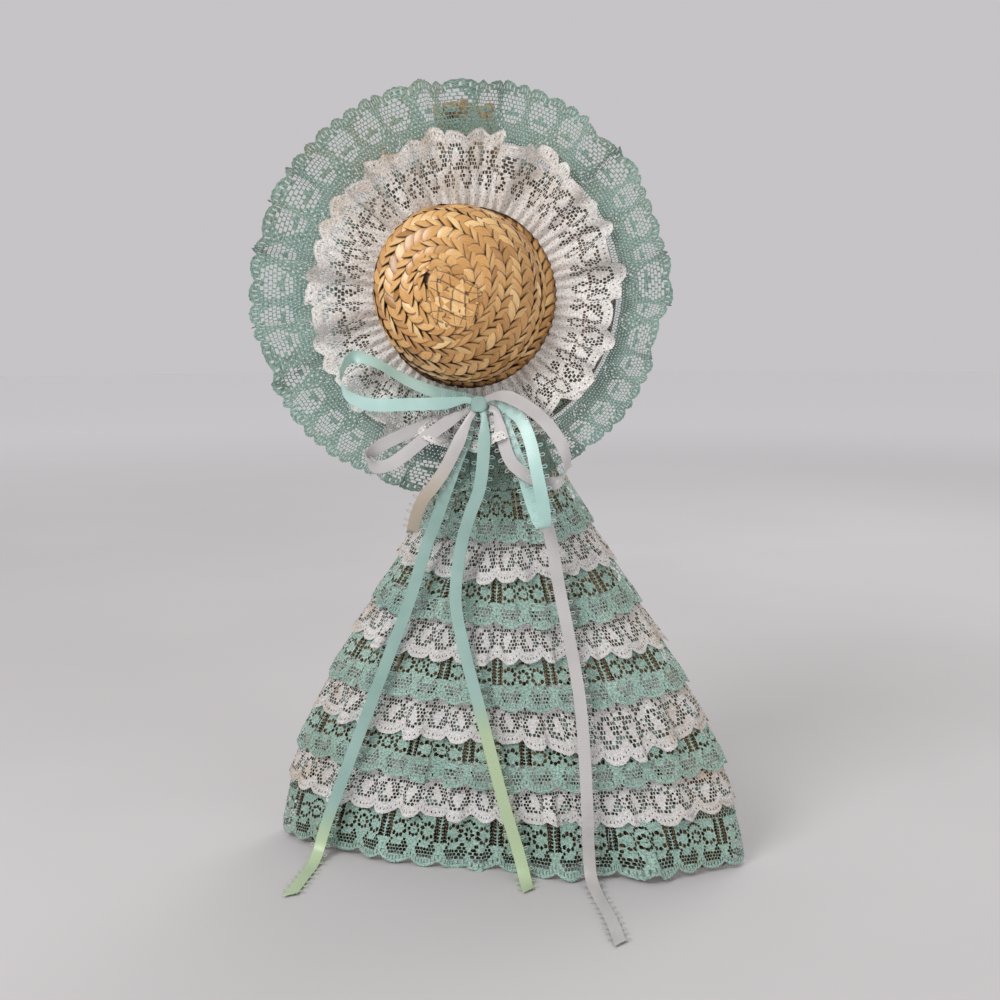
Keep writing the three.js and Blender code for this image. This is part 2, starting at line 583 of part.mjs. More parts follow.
function buildHat() {
  const profile = hatProfile();
  const place = (share, rise, angle) => {
    const along = THREE.MathUtils.clamp(share, 0, 1);
    const point = profile.getPointAt(along);
    const run = profile.getTangentAt(along);
    const radius = Math.max(0, point.x - run.y * rise);
    const height = point.y + run.x * rise;
    const lean = (Math.max(0, height - HAT_WALL) / CROWN_HEIGHT) ** 2;
    return new THREE.Vector3(
      radius * Math.cos(angle) + TIP_SHIFT_X * lean,
      radius * Math.sin(angle) + TIP_SHIFT_UP * lean,
      height,
    );
  };
  const around = (station) => (2 * Math.PI * station) / HAT_COLUMNS;
  const outerEdge = (station) => Math.min(1, Math.max(0, station) / (HAT_COLUMNS * BRAID_TURNS));
  const stations = HAT_COLUMNS * (BRAID_TURNS + 1);
  const cuts = 3;
  const across = cuts + 1;
  const points = [];
  const triangles = [];
  for (let station = 0; station <= stations; station += 1) {
    const inner = outerEdge(station - HAT_COLUMNS);
    const outer = outerEdge(station);
    const fullness = (outer - inner) * BRAID_TURNS;
    for (let cut = 0; cut <= cuts; cut += 1) {
      const share = THREE.MathUtils.lerp(inner, outer, cut / cuts);
      const rise = cut === 0 ? 0 : BRAID_RISE * (1 - BRAID_SINK * fullness * (1 - cut / cuts));
      points.push(place(share, rise, around(station)));
    }
  }
  for (let station = 0; station < stations; station += 1) {
    const at = station * across;
    const next = at + across;
    for (let cut = 0; cut < cuts; cut += 1) {
      quad(triangles, at + cut, at + cut + 1, next + cut + 1, next + cut);
    }
    if (station + HAT_COLUMNS < stations) {
      const below = (station + HAT_COLUMNS) * across;
      quad(triangles, at + cuts, below, below + across, next + cuts);
    }
  }
  const rings = 9;
  const inside = points.length;
  for (let ring = 0; ring <= rings; ring += 1) {
    for (let column = 0; column < HAT_COLUMNS; column += 1) {
      points.push(place(1 - ring / rings, -HAT_WALL, around(column)));
    }
  }
  const edge = HAT_COLUMNS * BRAID_TURNS;
  for (let column = 0; column < HAT_COLUMNS; column += 1) {
    const next = (column + 1) % HAT_COLUMNS;
    const rim = (edge + column) * across + cuts;
    quad(triangles, rim, inside + column, inside + next, rim + across);
    for (let ring = 0; ring < rings; ring += 1) {
      const low = inside + ring * HAT_COLUMNS;
      quad(triangles, low + column, low + HAT_COLUMNS + column, low + HAT_COLUMNS + next, low + next);
    }
  }
  addPart(hat, 'straw_hat', closedBody(points, triangles), straw);
}

// Ruffles of the hat: rings of lace whose gathers open towards the outer edge.
function ruffle(name, columns, inner, width, flare, fold, material) {
  const levels = 3;
  const place = (column, level, side) => {
    const out = level / (levels - 1);
    const angle = -Math.PI / 2 + (2 * Math.PI * column) / columns;
    const crest = column % 2 === 0 ? 1 : -foldShare(column);
    const height = BRIM_FRONT + (flare + fold * crest) * out + side * LACE;
    const radius = inner + width * out;
    return new THREE.Vector3(radius * Math.cos(angle), radius * Math.sin(angle), height);
  };
  addPart(hat, name, sheet(columns, levels, true, place), material);
}

// The white ruffle lies over the header of the mint one and clears its gathers.
function whiteFlare() {
  const step = LACE + SEAT_GAP;
  const whiteOuter = HAT_WHITE_INNER + HAT_WHITE_WIDTH;
  const headerShare = (HAT_MINT_INNER - HAT_WHITE_INNER) / HAT_WHITE_WIDTH;
  const edgeShare = (whiteOuter - HAT_MINT_INNER) / MINT_WIDTH;
  const overHeader = step / headerShare + HAT_WHITE_FOLD;
  const overEdge = (HAT_MINT_FLARE + HAT_MINT_FOLD) * edgeShare + step + HAT_WHITE_FOLD;
  return Math.max(overHeader, overEdge);
}

function buildRuffles() {
  ruffle(
    'hat_mint_ruffle', HAT_MINT_COLUMNS, HAT_MINT_INNER, MINT_WIDTH,
    HAT_MINT_FLARE, HAT_MINT_FOLD, mintLace,
  );
  ruffle(
    'hat_white_ruffle', HAT_WHITE_COLUMNS, HAT_WHITE_INNER, HAT_WHITE_WIDTH,
    whiteFlare(), HAT_WHITE_FOLD, whiteLace,
  );
}

// A lump of glue between two faces, flattened along Y.
function glueLump(name, x, z, frontY, backY, width, height) {
  const thickness = backY - frontY - 2 * SEAT_GAP;
  const lump = new THREE.SphereGeometry(0.5, 10, 6);
  lump.scale(width, thickness, height);
  lump.translate(x, (frontY + backY) / 2, z);
  addPart(doll, name, fromSolid(toSolid(lump)), glue);
}

function brimBackY(height) {
  return HAT_BACK_Y + height * Math.tan(PITCH);
}

// The upper lump is on the bare stalks, the lower one on the binding of the neck.
function buildGlue() {
  const upper = BRIM_RADIUS - GLUE_INSET;
  const lowerZ = NECK_TWINE_Z + (NECK_TURNS * TWINE_PITCH + TWINE) / 2;
  const upperZ = HAT_Z + upper;
  const lowerFrontY = brimBackY(lowerZ - HAT_Z);
  const twineFront = -(TWINE_RADIUS + TWINE / 2);
  glueLump('glue_upper', leanAt(upperZ), upperZ, brimBackY(upper), -HANDLE_RADIUS, GLUE_WIDTH, GLUE_HEIGHT);
  glueLump('glue_lower', leanAt(lowerZ), lowerZ, lowerFrontY, twineFront, GLUE_WIDTH, GLUE_HEIGHT);
}

// Bow
function ruffleFrontY(drop) {
  const out = (drop - HAT_WHITE_INNER) / HAT_WHITE_WIDTH;
  const crest = BRIM_FRONT + (whiteFlare() + HAT_WHITE_FOLD) * out + LACE;
  return HAT_BACK_Y - crest * Math.cos(PITCH) - drop * Math.sin(PITCH);
}

function ribbon(name, route, rollAxis, material) {
  const perPoint = 2;
  const points = route.map(([x, y, z]) => new THREE.Vector3(x, y, z));
  const line = new THREE.CatmullRomCurve3(points, false, 'centripetal');
  const stations = (route.length - 1) * perPoint;
  const rings = Array.from({ length: stations + 1 }, (_, station) => {
    const share = station / stations;
    const before = Math.min(Math.floor(station / perPoint), route.length - 2);
    const blend = station / perPoint - before;
    const degrees = THREE.MathUtils.lerp(route[before][3], route[before + 1][3], blend);
    const turn = THREE.MathUtils.degToRad(degrees);
    const facing = new THREE.Vector3(0, -1, 0).applyAxisAngle(rollAxis, turn);
    const ahead = line.getTangent(share);
    const across = ahead.clone().cross(facing).normalize();
    const face = across.clone().cross(ahead);
    const corners = [[-1, -1], [1, -1], [1, 1], [-1, 1]];
    return corners.map(([w, t]) => line.getPoint(share)
      .addScaledVector(across, (w * RIBBON_WIDTH) / 2)
      .addScaledVector(face, (t * RIBBON) / 2));
  });
  addPart(doll, name, loft(rings, true), material);
}

function buildBow() {
  const drop = CROWN_RADIUS + KNOT_DROP;
  const knotZ = HAT_Z - drop;
  const laceY = ruffleFrontY(drop + DAB_HEIGHT / 4);
  const backY = laceY - DAB - 2 * SEAT_GAP;
  const knot = new RoundedBoxGeometry(KNOT_WIDTH, KNOT_DEPTH, KNOT_HEIGHT, 2, 2);
  knot.translate(KNOT_X, backY - KNOT_DEPTH / 2, knotZ);
  addPart(doll, 'bow_knot', fromSolid(toSolid(knot)), mintSatin);
  glueLump('bow_glue', KNOT_X, knotZ, backY, laceY, DAB_HEIGHT, DAB_HEIGHT);
  const upright = new THREE.Vector3(0, 0, 1);
  const level = new THREE.Vector3(1, 0, 0);
  ribbon('mint_loop_left', MINT_LOOP_LEFT, upright.clone().negate(), mintSatin);
  ribbon('white_loop_left', WHITE_LOOP_LEFT, upright.clone().negate(), whiteSatin);
  ribbon('white_loop_right', WHITE_LOOP_RIGHT, upright, whiteSatin);
  ribbon('mint_loop_right', MINT_LOOP_RIGHT, level, mintSatin);
  ribbon('white_tail_left', WHITE_TAIL_LEFT, level, whiteSatin);
  ribbon('mint_tail_left', MINT_TAIL_LEFT, level, mintSatin);
  ribbon('mint_tail_centre', MINT_TAIL_CENTRE, level, mintSatin);
  ribbon('white_tail_right', WHITE_TAIL_RIGHT, level, whiteSatin);
}

buildFan();
buildHandle();
bindHandle('neck_binding', NECK_TWINE_Z, NECK_TURNS);
bindHandle('handle_binding', HANDLE_TWINE_Z, HANDLE_TURNS);
sewFan();
buildSkirt();
buildHat();
buildRuffles();
buildGlue();
buildBow();

export default doll;
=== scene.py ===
"""Looks of the broom doll, a whisk broom dressed as a lady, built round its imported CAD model.

Sizes in the classes are millimetres, as in the part's source, and meshes are written in metres. The
front faces -Y and the broom stands on its straw at z = 0.
"""

import logging
import math
from abc import ABC, abstractmethod
from dataclasses import dataclass, field
from enum import Enum
from functools import lru_cache
from typing import Callable, Dict, List, Sequence, Tuple

import bpy
import numpy as np
from mathutils import Matrix, Vector


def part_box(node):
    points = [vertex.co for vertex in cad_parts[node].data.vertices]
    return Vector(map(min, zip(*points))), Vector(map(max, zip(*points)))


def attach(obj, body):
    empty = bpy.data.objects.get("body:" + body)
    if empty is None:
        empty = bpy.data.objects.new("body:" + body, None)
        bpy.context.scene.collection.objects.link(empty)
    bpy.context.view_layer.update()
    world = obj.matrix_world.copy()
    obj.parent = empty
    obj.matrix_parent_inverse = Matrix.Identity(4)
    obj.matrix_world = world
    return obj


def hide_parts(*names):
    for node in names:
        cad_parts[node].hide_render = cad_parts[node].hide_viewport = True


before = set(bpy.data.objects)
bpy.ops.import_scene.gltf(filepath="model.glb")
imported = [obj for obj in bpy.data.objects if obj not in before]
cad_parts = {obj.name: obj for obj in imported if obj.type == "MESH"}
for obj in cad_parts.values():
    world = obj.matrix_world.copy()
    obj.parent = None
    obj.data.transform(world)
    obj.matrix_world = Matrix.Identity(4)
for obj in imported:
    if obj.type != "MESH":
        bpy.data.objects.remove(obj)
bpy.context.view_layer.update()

LOG = logging.getLogger("broom_doll")
MM = 0.001
BODY = "root"

# Radius of a net hole where lace is closed, and millimetres to UV units.
CLOSED = -1.0
FLAT_UNIT = 0.01

Array = np.ndarray
Pair = Tuple[float, float]
Triple = Tuple[float, float, float]
Colour = Triple
Piece = bpy.types.Object
Material = bpy.types.Material
Socket = bpy.types.NodeSocket


class Slot(Enum):
    """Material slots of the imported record."""

    BROOMCORN = "broomcorn"
    TWINE = "twine"
    BRAIDED_STRAW = "braided_straw"
    MINT_LACE = "mint_lace"
    WHITE_LACE = "white_lace"
    MINT_SATIN = "mint_satin"
    WHITE_SATIN = "white_satin"
    GLUE = "glue"


class FarEnd(Enum):
    """Where the far end of a ribbon is."""

    BARE = "bare"
    KNOT = "object"


class Axis(Enum):
    """Axis that a ribbon's face turns about."""

    DOWN = (0.0, 0.0, -1.0)
    UP = (0.0, 0.0, 1.0)
    LEVEL = (1.0, 0.0, 0.0)


def smooth_step(low: float, high: float, value: Array) -> Array:
    """Soft step of values, from 0 at low to 1 at high."""
    share = np.clip((value - low) / (high - low), 0.0, 1.0)
    return share * share * (3.0 - 2.0 * share)


def unit(vectors: Array) -> Array:
    """Scales vectors in the last axis to length 1."""
    length = np.linalg.norm(vectors, axis=-1, keepdims=True)
    return vectors / np.maximum(length, 1e-9)


def lengths_along(points: Array) -> Array:
    """Length of a line from its first point to each of its points."""
    return np.concatenate([[0.0], np.cumsum(np.linalg.norm(np.diff(points, axis=0), axis=1))])


def deselect() -> None:
    """Leaves object mode with nothing selected."""
    if bpy.context.object and bpy.context.object.mode != "OBJECT":
        bpy.ops.object.mode_set(mode="OBJECT")
    bpy.ops.object.select_all(action="DESELECT")


def pick(piece: Piece) -> None:
    """Selects one piece alone and makes it active."""
    deselect()
    piece.select_set(True)
    bpy.context.view_layer.objects.active = piece


def fill_layer(piece: Piece, name: str, value: float) -> None:
    """Adds a point attribute that has one value all over the piece."""
    layer = piece.data.attributes.new(name, "FLOAT", "POINT")
    layer.data.foreach_set("value", np.full(len(piece.data.vertices), value, np.float32))


def dress(piece: Piece, slot: Slot, material: Material, *nodes: str) -> None:
    """Gives a piece its material, its body and the CAD nodes that it stands for.

    Args:
        piece: Finished piece.
        slot: Slot of the record that its finish belongs to. Not used.
        material: Its material.
        nodes: CAD nodes that it replaces.
    """
    piece.data.materials.clear()
    piece.data.materials.append(material)
    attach(piece, BODY)
    if nodes:
        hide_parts(*nodes)
    LOG.info("%s: %d faces", piece.name, len(piece.data.polygons))


class PieceMesh:
    """Collects the points and faces of one piece, in millimetres."""

    def __init__(self) -> None:
        """Starts with no points."""
        self.points: List[Array] = []
        self.faces: Dict[int, List[Array]] = {}
        self.flat: List[Array] = []
        self.layers: Dict[str, List[Array]] = {}
        self.count = 0

    def add(self, points: Array, faces: Sequence[Array], flat: Array, **layers: Array) -> None:
        """Adds a part of the piece.

        Args:
            points: Its points, one row each.
            faces: Arrays of point numbers, one array for each number of corners.
            flat: Flat place of each point, for the UV map, in millimetres.
            layers: One value a point for each named attribute.
        """
        for group in faces:
            self.faces.setdefault(group.shape[1], []).append(group + self.count)
        self.points.append(points)
        self.flat.append(flat)
        for name, values in layers.items():
            self.layers.setdefault(name, []).append(np.broadcast_to(values, len(points)))
        self.count += len(points)

    def build(self, name: str) -> Piece:
        """Writes the mesh and links its object.

        Args:
            name: Name of the piece.

        Returns:
            The new object, smooth shaded, at the origin.
        """
        points = np.concatenate(self.points) * MM
        flat = np.concatenate(self.flat) * FLAT_UNIT
        groups = [np.concatenate(group) for group in self.faces.values()]
        corners = np.concatenate([group.ravel() for group in groups])
        sizes = np.concatenate([np.full(len(group), group.shape[1]) for group in groups])
        starts = np.concatenate([[0], np.cumsum(sizes)[:-1]])
        mesh = bpy.data.meshes.new(name)
        mesh.vertices.add(len(points))
        mesh.vertices.foreach_set("co", points.astype(np.float32).ravel())
        mesh.loops.add(len(corners))
        mesh.loops.foreach_set("vertex_index", corners.astype(np.int32))
        mesh.polygons.add(len(sizes))
        mesh.polygons.foreach_set("loop_start", starts.astype(np.int32))
        mesh.update(calc_edges=True)
        uv_map = mesh.uv_layers.new(name="flat")
        uv_map.data.foreach_set("uv", flat[corners].astype(np.float32).ravel())
        for layer, values in self.layers.items():
            attribute = mesh.attributes.new(layer, "FLOAT", "POINT")
            attribute.data.foreach_set("value", np.concatenate(values).astype(np.float32))
        mesh.shade_smooth()
        mesh.validate()
        piece = bpy.data.objects.new(name, mesh)
        bpy.context.scene.collection.objects.link(piece)
        return piece


def grid_faces(columns: int, rows: int) -> Array:
    """Faces of a grid of points numbered row by row within each column, four point numbers each."""
    first = (np.arange(columns - 1)[:, None] * rows + np.arange(rows - 1)).ravel()
    return np.stack([first, first + rows, first + rows + 1, first + 1], axis=1)


def tube_faces(rings: int, sides: int) -> Array:
    """Faces of a tube of rings, each with the same number of points.

    Args:
        rings: Number of rings.
        sides: Points in a ring.

    Returns:
        One row of four point numbers for each face.
    """
    ring = np.arange(rings - 1)[:, None] * sides
    side = np.arange(sides)
    after = (side + 1) % sides
    corners = [ring + side, ring + after, ring + sides + after, ring + sides + side]
    return np.stack([corner.ravel() for corner in corners], axis=1)


class NodeBoard:
    """Wires the nodes of one material."""

    def __init__(self, name: str) -> None:
        """Makes a material with a bare shader.

        Args:
            name: Name of the material.
        """
        self.material = bpy.data.materials.new(name)
        self.material.use_nodes = True
        self.tree = self.material.node_tree
        self.tree.nodes.clear()
        self.shader = self.add("ShaderNodeBsdfPrincipled")
        output = self.add("ShaderNodeOutputMaterial")
        self.link(self.shader.outputs["BSDF"], output.inputs["Surface"])

    def add(self, kind: str, **settings: object) -> bpy.types.Node:
        """Adds a node and sets its properties.

        Args:
            kind: Blender's name for the node type.
            settings: Properties of the node.

        Returns:
            The node.
        """
        node = self.tree.nodes.new(kind)
        for name, value in settings.items():
            setattr(node, name, value)
        return node

    def link(self, source: Socket, target: Socket) -> None:
        """Joins two sockets."""
        self.tree.links.new(source, target)

    @staticmethod
    def fill(node: bpy.types.Node, **values: object) -> None:
        """Sets sockets of a node to plain values, named with underscores for spaces."""
        for name, value in values.items():
            node.inputs[name.replace("_", " ")].default_value = value

    def constant(self, **values: object) -> None:
        """Sets shader sockets that are the same all over."""
        self.fill(self.shader, **values)

    def place(self, scale: Triple = (1.0, 1.0, 1.0)) -> Socket:
        """Object coordinates in metres, stretched by a scale."""
        source = self.add("ShaderNodeTexCoord").outputs["Object"]
        return self.scaled(source, scale)

    def flat(self, scale: Triple = (1.0, 1.0, 1.0)) -> Socket:
        """Flat place on the piece, in units of 100 mm, stretched by a scale."""
        source = self.add("ShaderNodeUVMap", uv_map="flat").outputs["UV"]
        return self.scaled(source, scale)

    def scaled(self, source: Socket, scale: Triple) -> Socket:
        """Stretches a vector.

        Args:
            source: Vector socket.
            scale: Scale of each axis.

        Returns:
            The stretched vector socket.
        """
        mapping = self.add("ShaderNodeMapping")
        mapping.inputs["Scale"].default_value = scale
        self.link(source, mapping.inputs["Vector"])
        return mapping.outputs["Vector"]

    def attribute(self, name: str) -> Socket:
        """Value of a mesh attribute."""
        return self.add("ShaderNodeAttribute", attribute_name=name).outputs["Fac"]

    def noise(self, vector: Socket, scale: float, detail: float = 3.0, roughness: float = 0.55) -> Socket:
        """Noise from 0 to 1.

        Args:
            vector: Where to read it.
            scale: Cells in a unit of the vector.
            detail: Octaves.
            roughness: Strength of the finer octaves.

        Returns:
            The value socket.
        """
        node = self.add("ShaderNodeTexNoise")
        self.fill(node, Scale=scale, Detail=detail, Roughness=roughness)
        self.link(vector, node.inputs["Vector"])
        return node.outputs["Fac"]

    def wave(self, vector: Socket, scale: float, distortion: float = 0.0) -> Socket:
        """Bands across the X axis of a vector.

        Args:
            vector: Where to read them.
            scale: Scale of the bands.
            distortion: How far they wander.

        Returns:
            The value socket.
        """
        node = self.add("ShaderNodeTexWave", wave_type="BANDS", bands_direction="X", wave_profile="SIN")
        self.fill(node, Scale=scale, Distortion=distortion, Detail=1.0)
        self.link(vector, node.inputs["Vector"])
        return node.outputs["Fac"]

    def span(self, value: Socket, low: float, high: float, first: float = 0.0, last: float = 1.0) -> Socket:
        """Maps low to high on first to last, smoothly and clamped.

        Args:
            value: Value to map.
            low: Value that gives first.
            high: Value that gives last.
            first: Result at low.
            last: Result at high.

        Returns:
            The value socket.
        """
        node = self.add("ShaderNodeMapRange", interpolation_type="SMOOTHSTEP")
        self.fill(node, From_Min=low, From_Max=high, To_Min=first, To_Max=last)
        self.link(value, node.inputs["Value"])
        return node.outputs["Result"]

    def combine(self, operation: str, first: Socket, second: "Socket | float") -> Socket:
        """Joins two values by an operation of the Math node.

        Args:
            operation: Name of the operation.
            first: First value.
            second: Second value, a socket or a number.

        Returns:
            The value socket.
        """
        node = self.add("ShaderNodeMath", operation=operation)
        self.link(first, node.inputs[0])
        if isinstance(second, float):
            node.inputs[1].default_value = second
        else:
            self.link(second, node.inputs[1])
        return node.outputs["Value"]

    def ramp(self, value: Socket, *stops: Tuple[float, Colour]) -> Socket:
        """Colours along a value.

        Args:
            value: Value from 0 to 1.
            stops: Places and their colours.

        Returns:
            The colour socket.
        """
        node = self.add("ShaderNodeValToRGB")
        elements = node.color_ramp.elements
        while len(elements) < len(stops):
            elements.new(0.5)
        for element, (where, colour) in zip(elements, stops):
            element.position = where
            element.color = (*colour, 1.0)
        self.link(value, node.inputs["Fac"])
        return node.outputs["Color"]

    def blend(
        self, factor: Socket, first: "Socket | Colour", second: "Socket | Colour", blend_type: str = "MIX"
    ) -> Socket:
        """Mixes two colours.

        Args:
            factor: Share of the second.
            first: First colour, a socket or a value.
            second: Second colour, a socket or a value.
            blend_type: How they mix.

        Returns:
            The colour socket.
        """
        node = self.add("ShaderNodeMix", data_type="RGBA", blend_type=blend_type)
        self.link(factor, node.inputs[0])
        for socket, colour in ((node.inputs[6], first), (node.inputs[7], second)):
            if isinstance(colour, tuple):
                socket.default_value = (*colour, 1.0)
            else:
                self.link(colour, socket)
        return node.outputs[2]

    def colour(self, source: Socket) -> None:
        """Uses a socket as the shader's colour."""
        self.link(source, self.shader.inputs["Base Color"])

    def roughness(self, source: Socket) -> None:
        """Uses a socket as the shader's roughness."""
        self.link(source, self.shader.inputs["Roughness"])

    def bump(self, height: Socket, strength: float, depth: float) -> None:
        """Adds relief to the shader.

        Args:
            height: Height from 0 to 1.
            strength: Strength of the relief.
            depth: Depth that 1 stands for, in metres.
        """
        node = self.add("ShaderNodeBump")
        self.fill(node, Strength=strength, Distance=depth)
        self.link(height, node.inputs["Height"])
        self.link(node.outputs["Normal"], self.shader.inputs["Normal"])


@dataclass(frozen=True)
class Finish(ABC):
    """A finish, which makes its material once."""

    name: str

    @lru_cache(maxsize=None)
    def material(self) -> Material:
        """Builds the material."""
        board = NodeBoard(self.name)
        self.wire(board)
        return board.material

    @abstractmethod
    def wire(self, board: NodeBoard) -> None:
        """Wires the nodes of the material."""


@dataclass(frozen=True)
class LaceFinish(Finish):
    """Machine lace: matte thread with fine stitches and shaded gaps, aged towards its edges."""

    thread: Colour
    shade: Colour
    gap: Colour
    stain: Colour

    def wire(self, board: NodeBoard) -> None:
        """Wires the lace."""
        tint = board.noise(board.place(), 60.0, 4.0)
        thread = board.blend(board.span(tint, 0.35, 0.7), self.thread, self.shade)
        blotch = board.noise(board.place(), 110.0, 5.0, 0.65)
        aged = board.combine("MULTIPLY", board.attribute("stain"), board.span(blotch, 0.3, 0.75))
        tone = board.blend(aged, thread, self.stain)
        yarn = board.noise(board.flat((1.0, 1.5, 1.0)), 250.0, 2.0)
        stitch = board.noise(board.flat((1.0, 1.3, 1.0)), 105.0, 3.0, 0.6)
        weave = board.combine("MULTIPLY", board.combine("ADD", yarn, stitch), 0.5)
        # Painted shade: where the yarn and stitch noise is low, the colour is multiplied by the gap colour,
        # as shade between the threads.
        dip = board.span(weave, 0.41, 0.57, 0.9, 0.0)
        board.colour(board.blend(dip, tone, self.gap, "MULTIPLY"))
        board.roughness(board.span(weave, 0.3, 0.7, 0.95, 0.75))
        board.bump(weave, 0.7, 0.0006)
        board.constant(Specular_IOR_Level=0.25, Sheen_Weight=0.15, Sheen_Roughness=0.5)


@dataclass(frozen=True)
class SatinFinish(Finish):
    """Satin ribbon: a soft gloss along fine ribs, faded where it has lain in the light."""

    silk: Colour
    shade: Colour
    faded: Colour

    def wire(self, board: NodeBoard) -> None:
        """Wires the ribbon."""
        cloud = board.noise(board.place(), 35.0, 3.0)
        silk = board.blend(board.span(cloud, 0.4, 0.75), self.silk, self.shade)
        silk = board.blend(board.attribute("fade"), silk, self.faded)
        rib = board.wave(board.flat((0.8, 1.0, 1.0)), 62.0, 0.4)
        board.colour(board.blend(board.span(rib, 0.0, 1.0, 0.14, 0.0), silk, self.shade))
        board.roughness(board.span(cloud, 0.3, 0.7, 0.26, 0.38))
        board.bump(rib, 0.12, 0.0002)
        board.constant(Specular_IOR_Level=0.5, Sheen_Weight=0.2, Anisotropic=0.4)


@dataclass(frozen=True)
class BraidFinish(Finish):
    """Split straw of the hat: flat glossy leaves, each with its own tone and fine fibres along it, with
    painted shade along their outlines.
    """

    deep: Colour
    golden: Colour
    pale: Colour
    gap: Colour

    def wire(self, board: NodeBoard) -> None:
        """Wires the straw."""
        tone = board.attribute("tone")
        fibre = board.noise(board.flat((0.25, 2.0, 1.0)), 150.0, 3.0)
        mixed = board.combine("ADD", tone, board.span(fibre, 0.2, 0.8, -0.13, 0.13))
        leaf = board.ramp(mixed, (0.08, self.deep), (0.5, self.golden), (0.97, self.pale))
        # Painted shade: the colour turns to the gap colour along each leaf's outline where leaves overlap, on
        # the brim's leaves under the lace, and on the shell under the leaves.
        edge = board.span(board.attribute("edge"), 0.5, 1.0, 0.0, 0.95)
        board.colour(board.blend(edge, leaf, self.gap))
        board.roughness(board.span(fibre, 0.2, 0.8, 0.22, 0.4))
        board.bump(fibre, 0.25, 0.0003)
        board.constant(Specular_IOR_Level=0.6, Coat_Weight=0.3, Coat_Roughness=0.2)


@dataclass(frozen=True)
class BroomcornFinish(Finish):
    """Dry broomcorn: matte stalks, each with its own tone, streaked along and darker at the tips."""

    deep: Colour
    straw: Colour
    pale: Colour

    def wire(self, board: NodeBoard) -> None:
        """Wires the broomcorn."""
        streak = board.noise(board.flat((0.2, 3.0, 1.0)), 90.0, 4.0)
        mixed = board.combine("ADD", board.attribute("tone"), board.span(streak, 0.2, 0.8, -0.18, 0.18))
        stalk = board.ramp(mixed, (0.1, self.deep), (0.55, self.straw), (0.95, self.pale))
        node_rings = board.noise(board.place((1.0, 1.0, 0.25)), 240.0, 3.0)
        board.colour(board.blend(board.span(node_rings, 0.55, 0.8, 0.0, 0.55), stalk, self.deep))
        board.roughness(board.span(streak, 0.2, 0.8, 0.55, 0.8))
        board.bump(streak, 0.3, 0.0004)
        board.constant(Specular_IOR_Level=0.35)


@dataclass(frozen=True)
class TwineFinish(Finish):
    """Twisted cotton twine, matte and a little hairy."""

    cotton: Colour
    shade: Colour

    def wire(self, board: NodeBoard) -> None:
        """Wires the twine."""
        fibre = board.noise(board.flat((1.0, 0.4, 1.0)), 300.0, 4.0, 0.7)
        cloud = board.noise(board.place(), 70.0, 3.0)
        cotton = board.blend(board.span(fibre, 0.35, 0.7), self.shade, self.cotton)
        board.colour(board.blend(board.span(cloud, 0.45, 0.8, 0.0, 0.5), cotton, self.shade))
        board.roughness(board.span(fibre, 0.2, 0.8, 0.95, 0.8))
        board.bump(fibre, 0.5, 0.0003)
        board.constant(Specular_IOR_Level=0.2, Sheen_Weight=0.2)


@dataclass(frozen=True)
class GlueFinish(Finish):
    """Set hot glue: cloudy, smooth and a little glossy."""

    clear: Colour
    cloudy: Colour

    def wire(self, board: NodeBoard) -> None:
        """Wires the glue."""
        cloud = board.noise(board.place(), 260.0, 4.0)
        board.colour(board.blend(board.span(cloud, 0.3, 0.7), self.clear, self.cloudy))
        board.roughness(board.span(cloud, 0.3, 0.7, 0.2, 0.4))
        board.bump(board.noise(board.place(), 500.0, 2.0), 0.3, 0.0005)
        board.constant(Specular_IOR_Level=0.5)


@dataclass(frozen=True)
class FloorFinish(Finish):
    """Plain pale painted floor, palest in the distance."""

    paint: Colour
    worn: Colour
    far: Colour

    def wire(self, board: NodeBoard) -> None:
        """Wires the floor."""
        cloud = board.noise(board.place(), 3.0, 3.0)
        away = board.add("ShaderNodeVectorMath", operation="LENGTH")
        board.link(board.place(), away.inputs[0])
        near = board.blend(board.span(cloud, 0.3, 0.7), self.paint, self.worn)
        board.colour(board.blend(board.span(away.outputs["Value"], 0.3, 2.5), near, self.far))
        board.roughness(board.span(cloud, 0.3, 0.7, 0.8, 0.9))
        board.constant(Specular_IOR_Level=0.2)


# The third colour of each lace is its gap colour, painted shade between the threads.
MINT_LACE = LaceFinish(
    "mint_lace", (0.46, 0.66, 0.59), (0.34, 0.51, 0.45), (0.30, 0.34, 0.32), (0.36, 0.33, 0.20)
)
WHITE_LACE = LaceFinish(
    "white_lace", (0.82, 0.81, 0.81), (0.72, 0.71, 0.71), (0.58, 0.57, 0.56), (0.50, 0.36, 0.22)
)
# The hat's mint lace is a darker copy of the mint lace: painted shade.
SHADED_HAT_MINT_LACE = LaceFinish(
    "mint_lace_hat", (0.32, 0.46, 0.41), (0.24, 0.36, 0.32), (0.34, 0.38, 0.36), (0.30, 0.27, 0.16)
)
# The hat's white lace is a lighter copy of the white lace: painted light.
LIT_HAT_WHITE_LACE = LaceFinish(
    "white_lace_hat", (0.97, 0.96, 0.95), (0.88, 0.87, 0.86), (0.56, 0.54, 0.52), (0.52, 0.37, 0.22)
)
# The loops' mint satin and the tails' and knot's mint satin are lit and shaded copies of one satin: painted
# light on the loops' copy, painted shade on the darker copy.
MINT_SATIN = SatinFinish("mint_satin", (0.51, 0.73, 0.68), (0.36, 0.56, 0.52), (0.56, 0.70, 0.45))
SHADED_MINT_SATIN = SatinFinish("mint_satin_tails", (0.33, 0.49, 0.45), (0.25, 0.40, 0.36), (0.46, 0.57, 0.35))
WHITE_SATIN = SatinFinish("white_satin", (0.55, 0.53, 0.53), (0.43, 0.41, 0.40), (0.46, 0.39, 0.30))
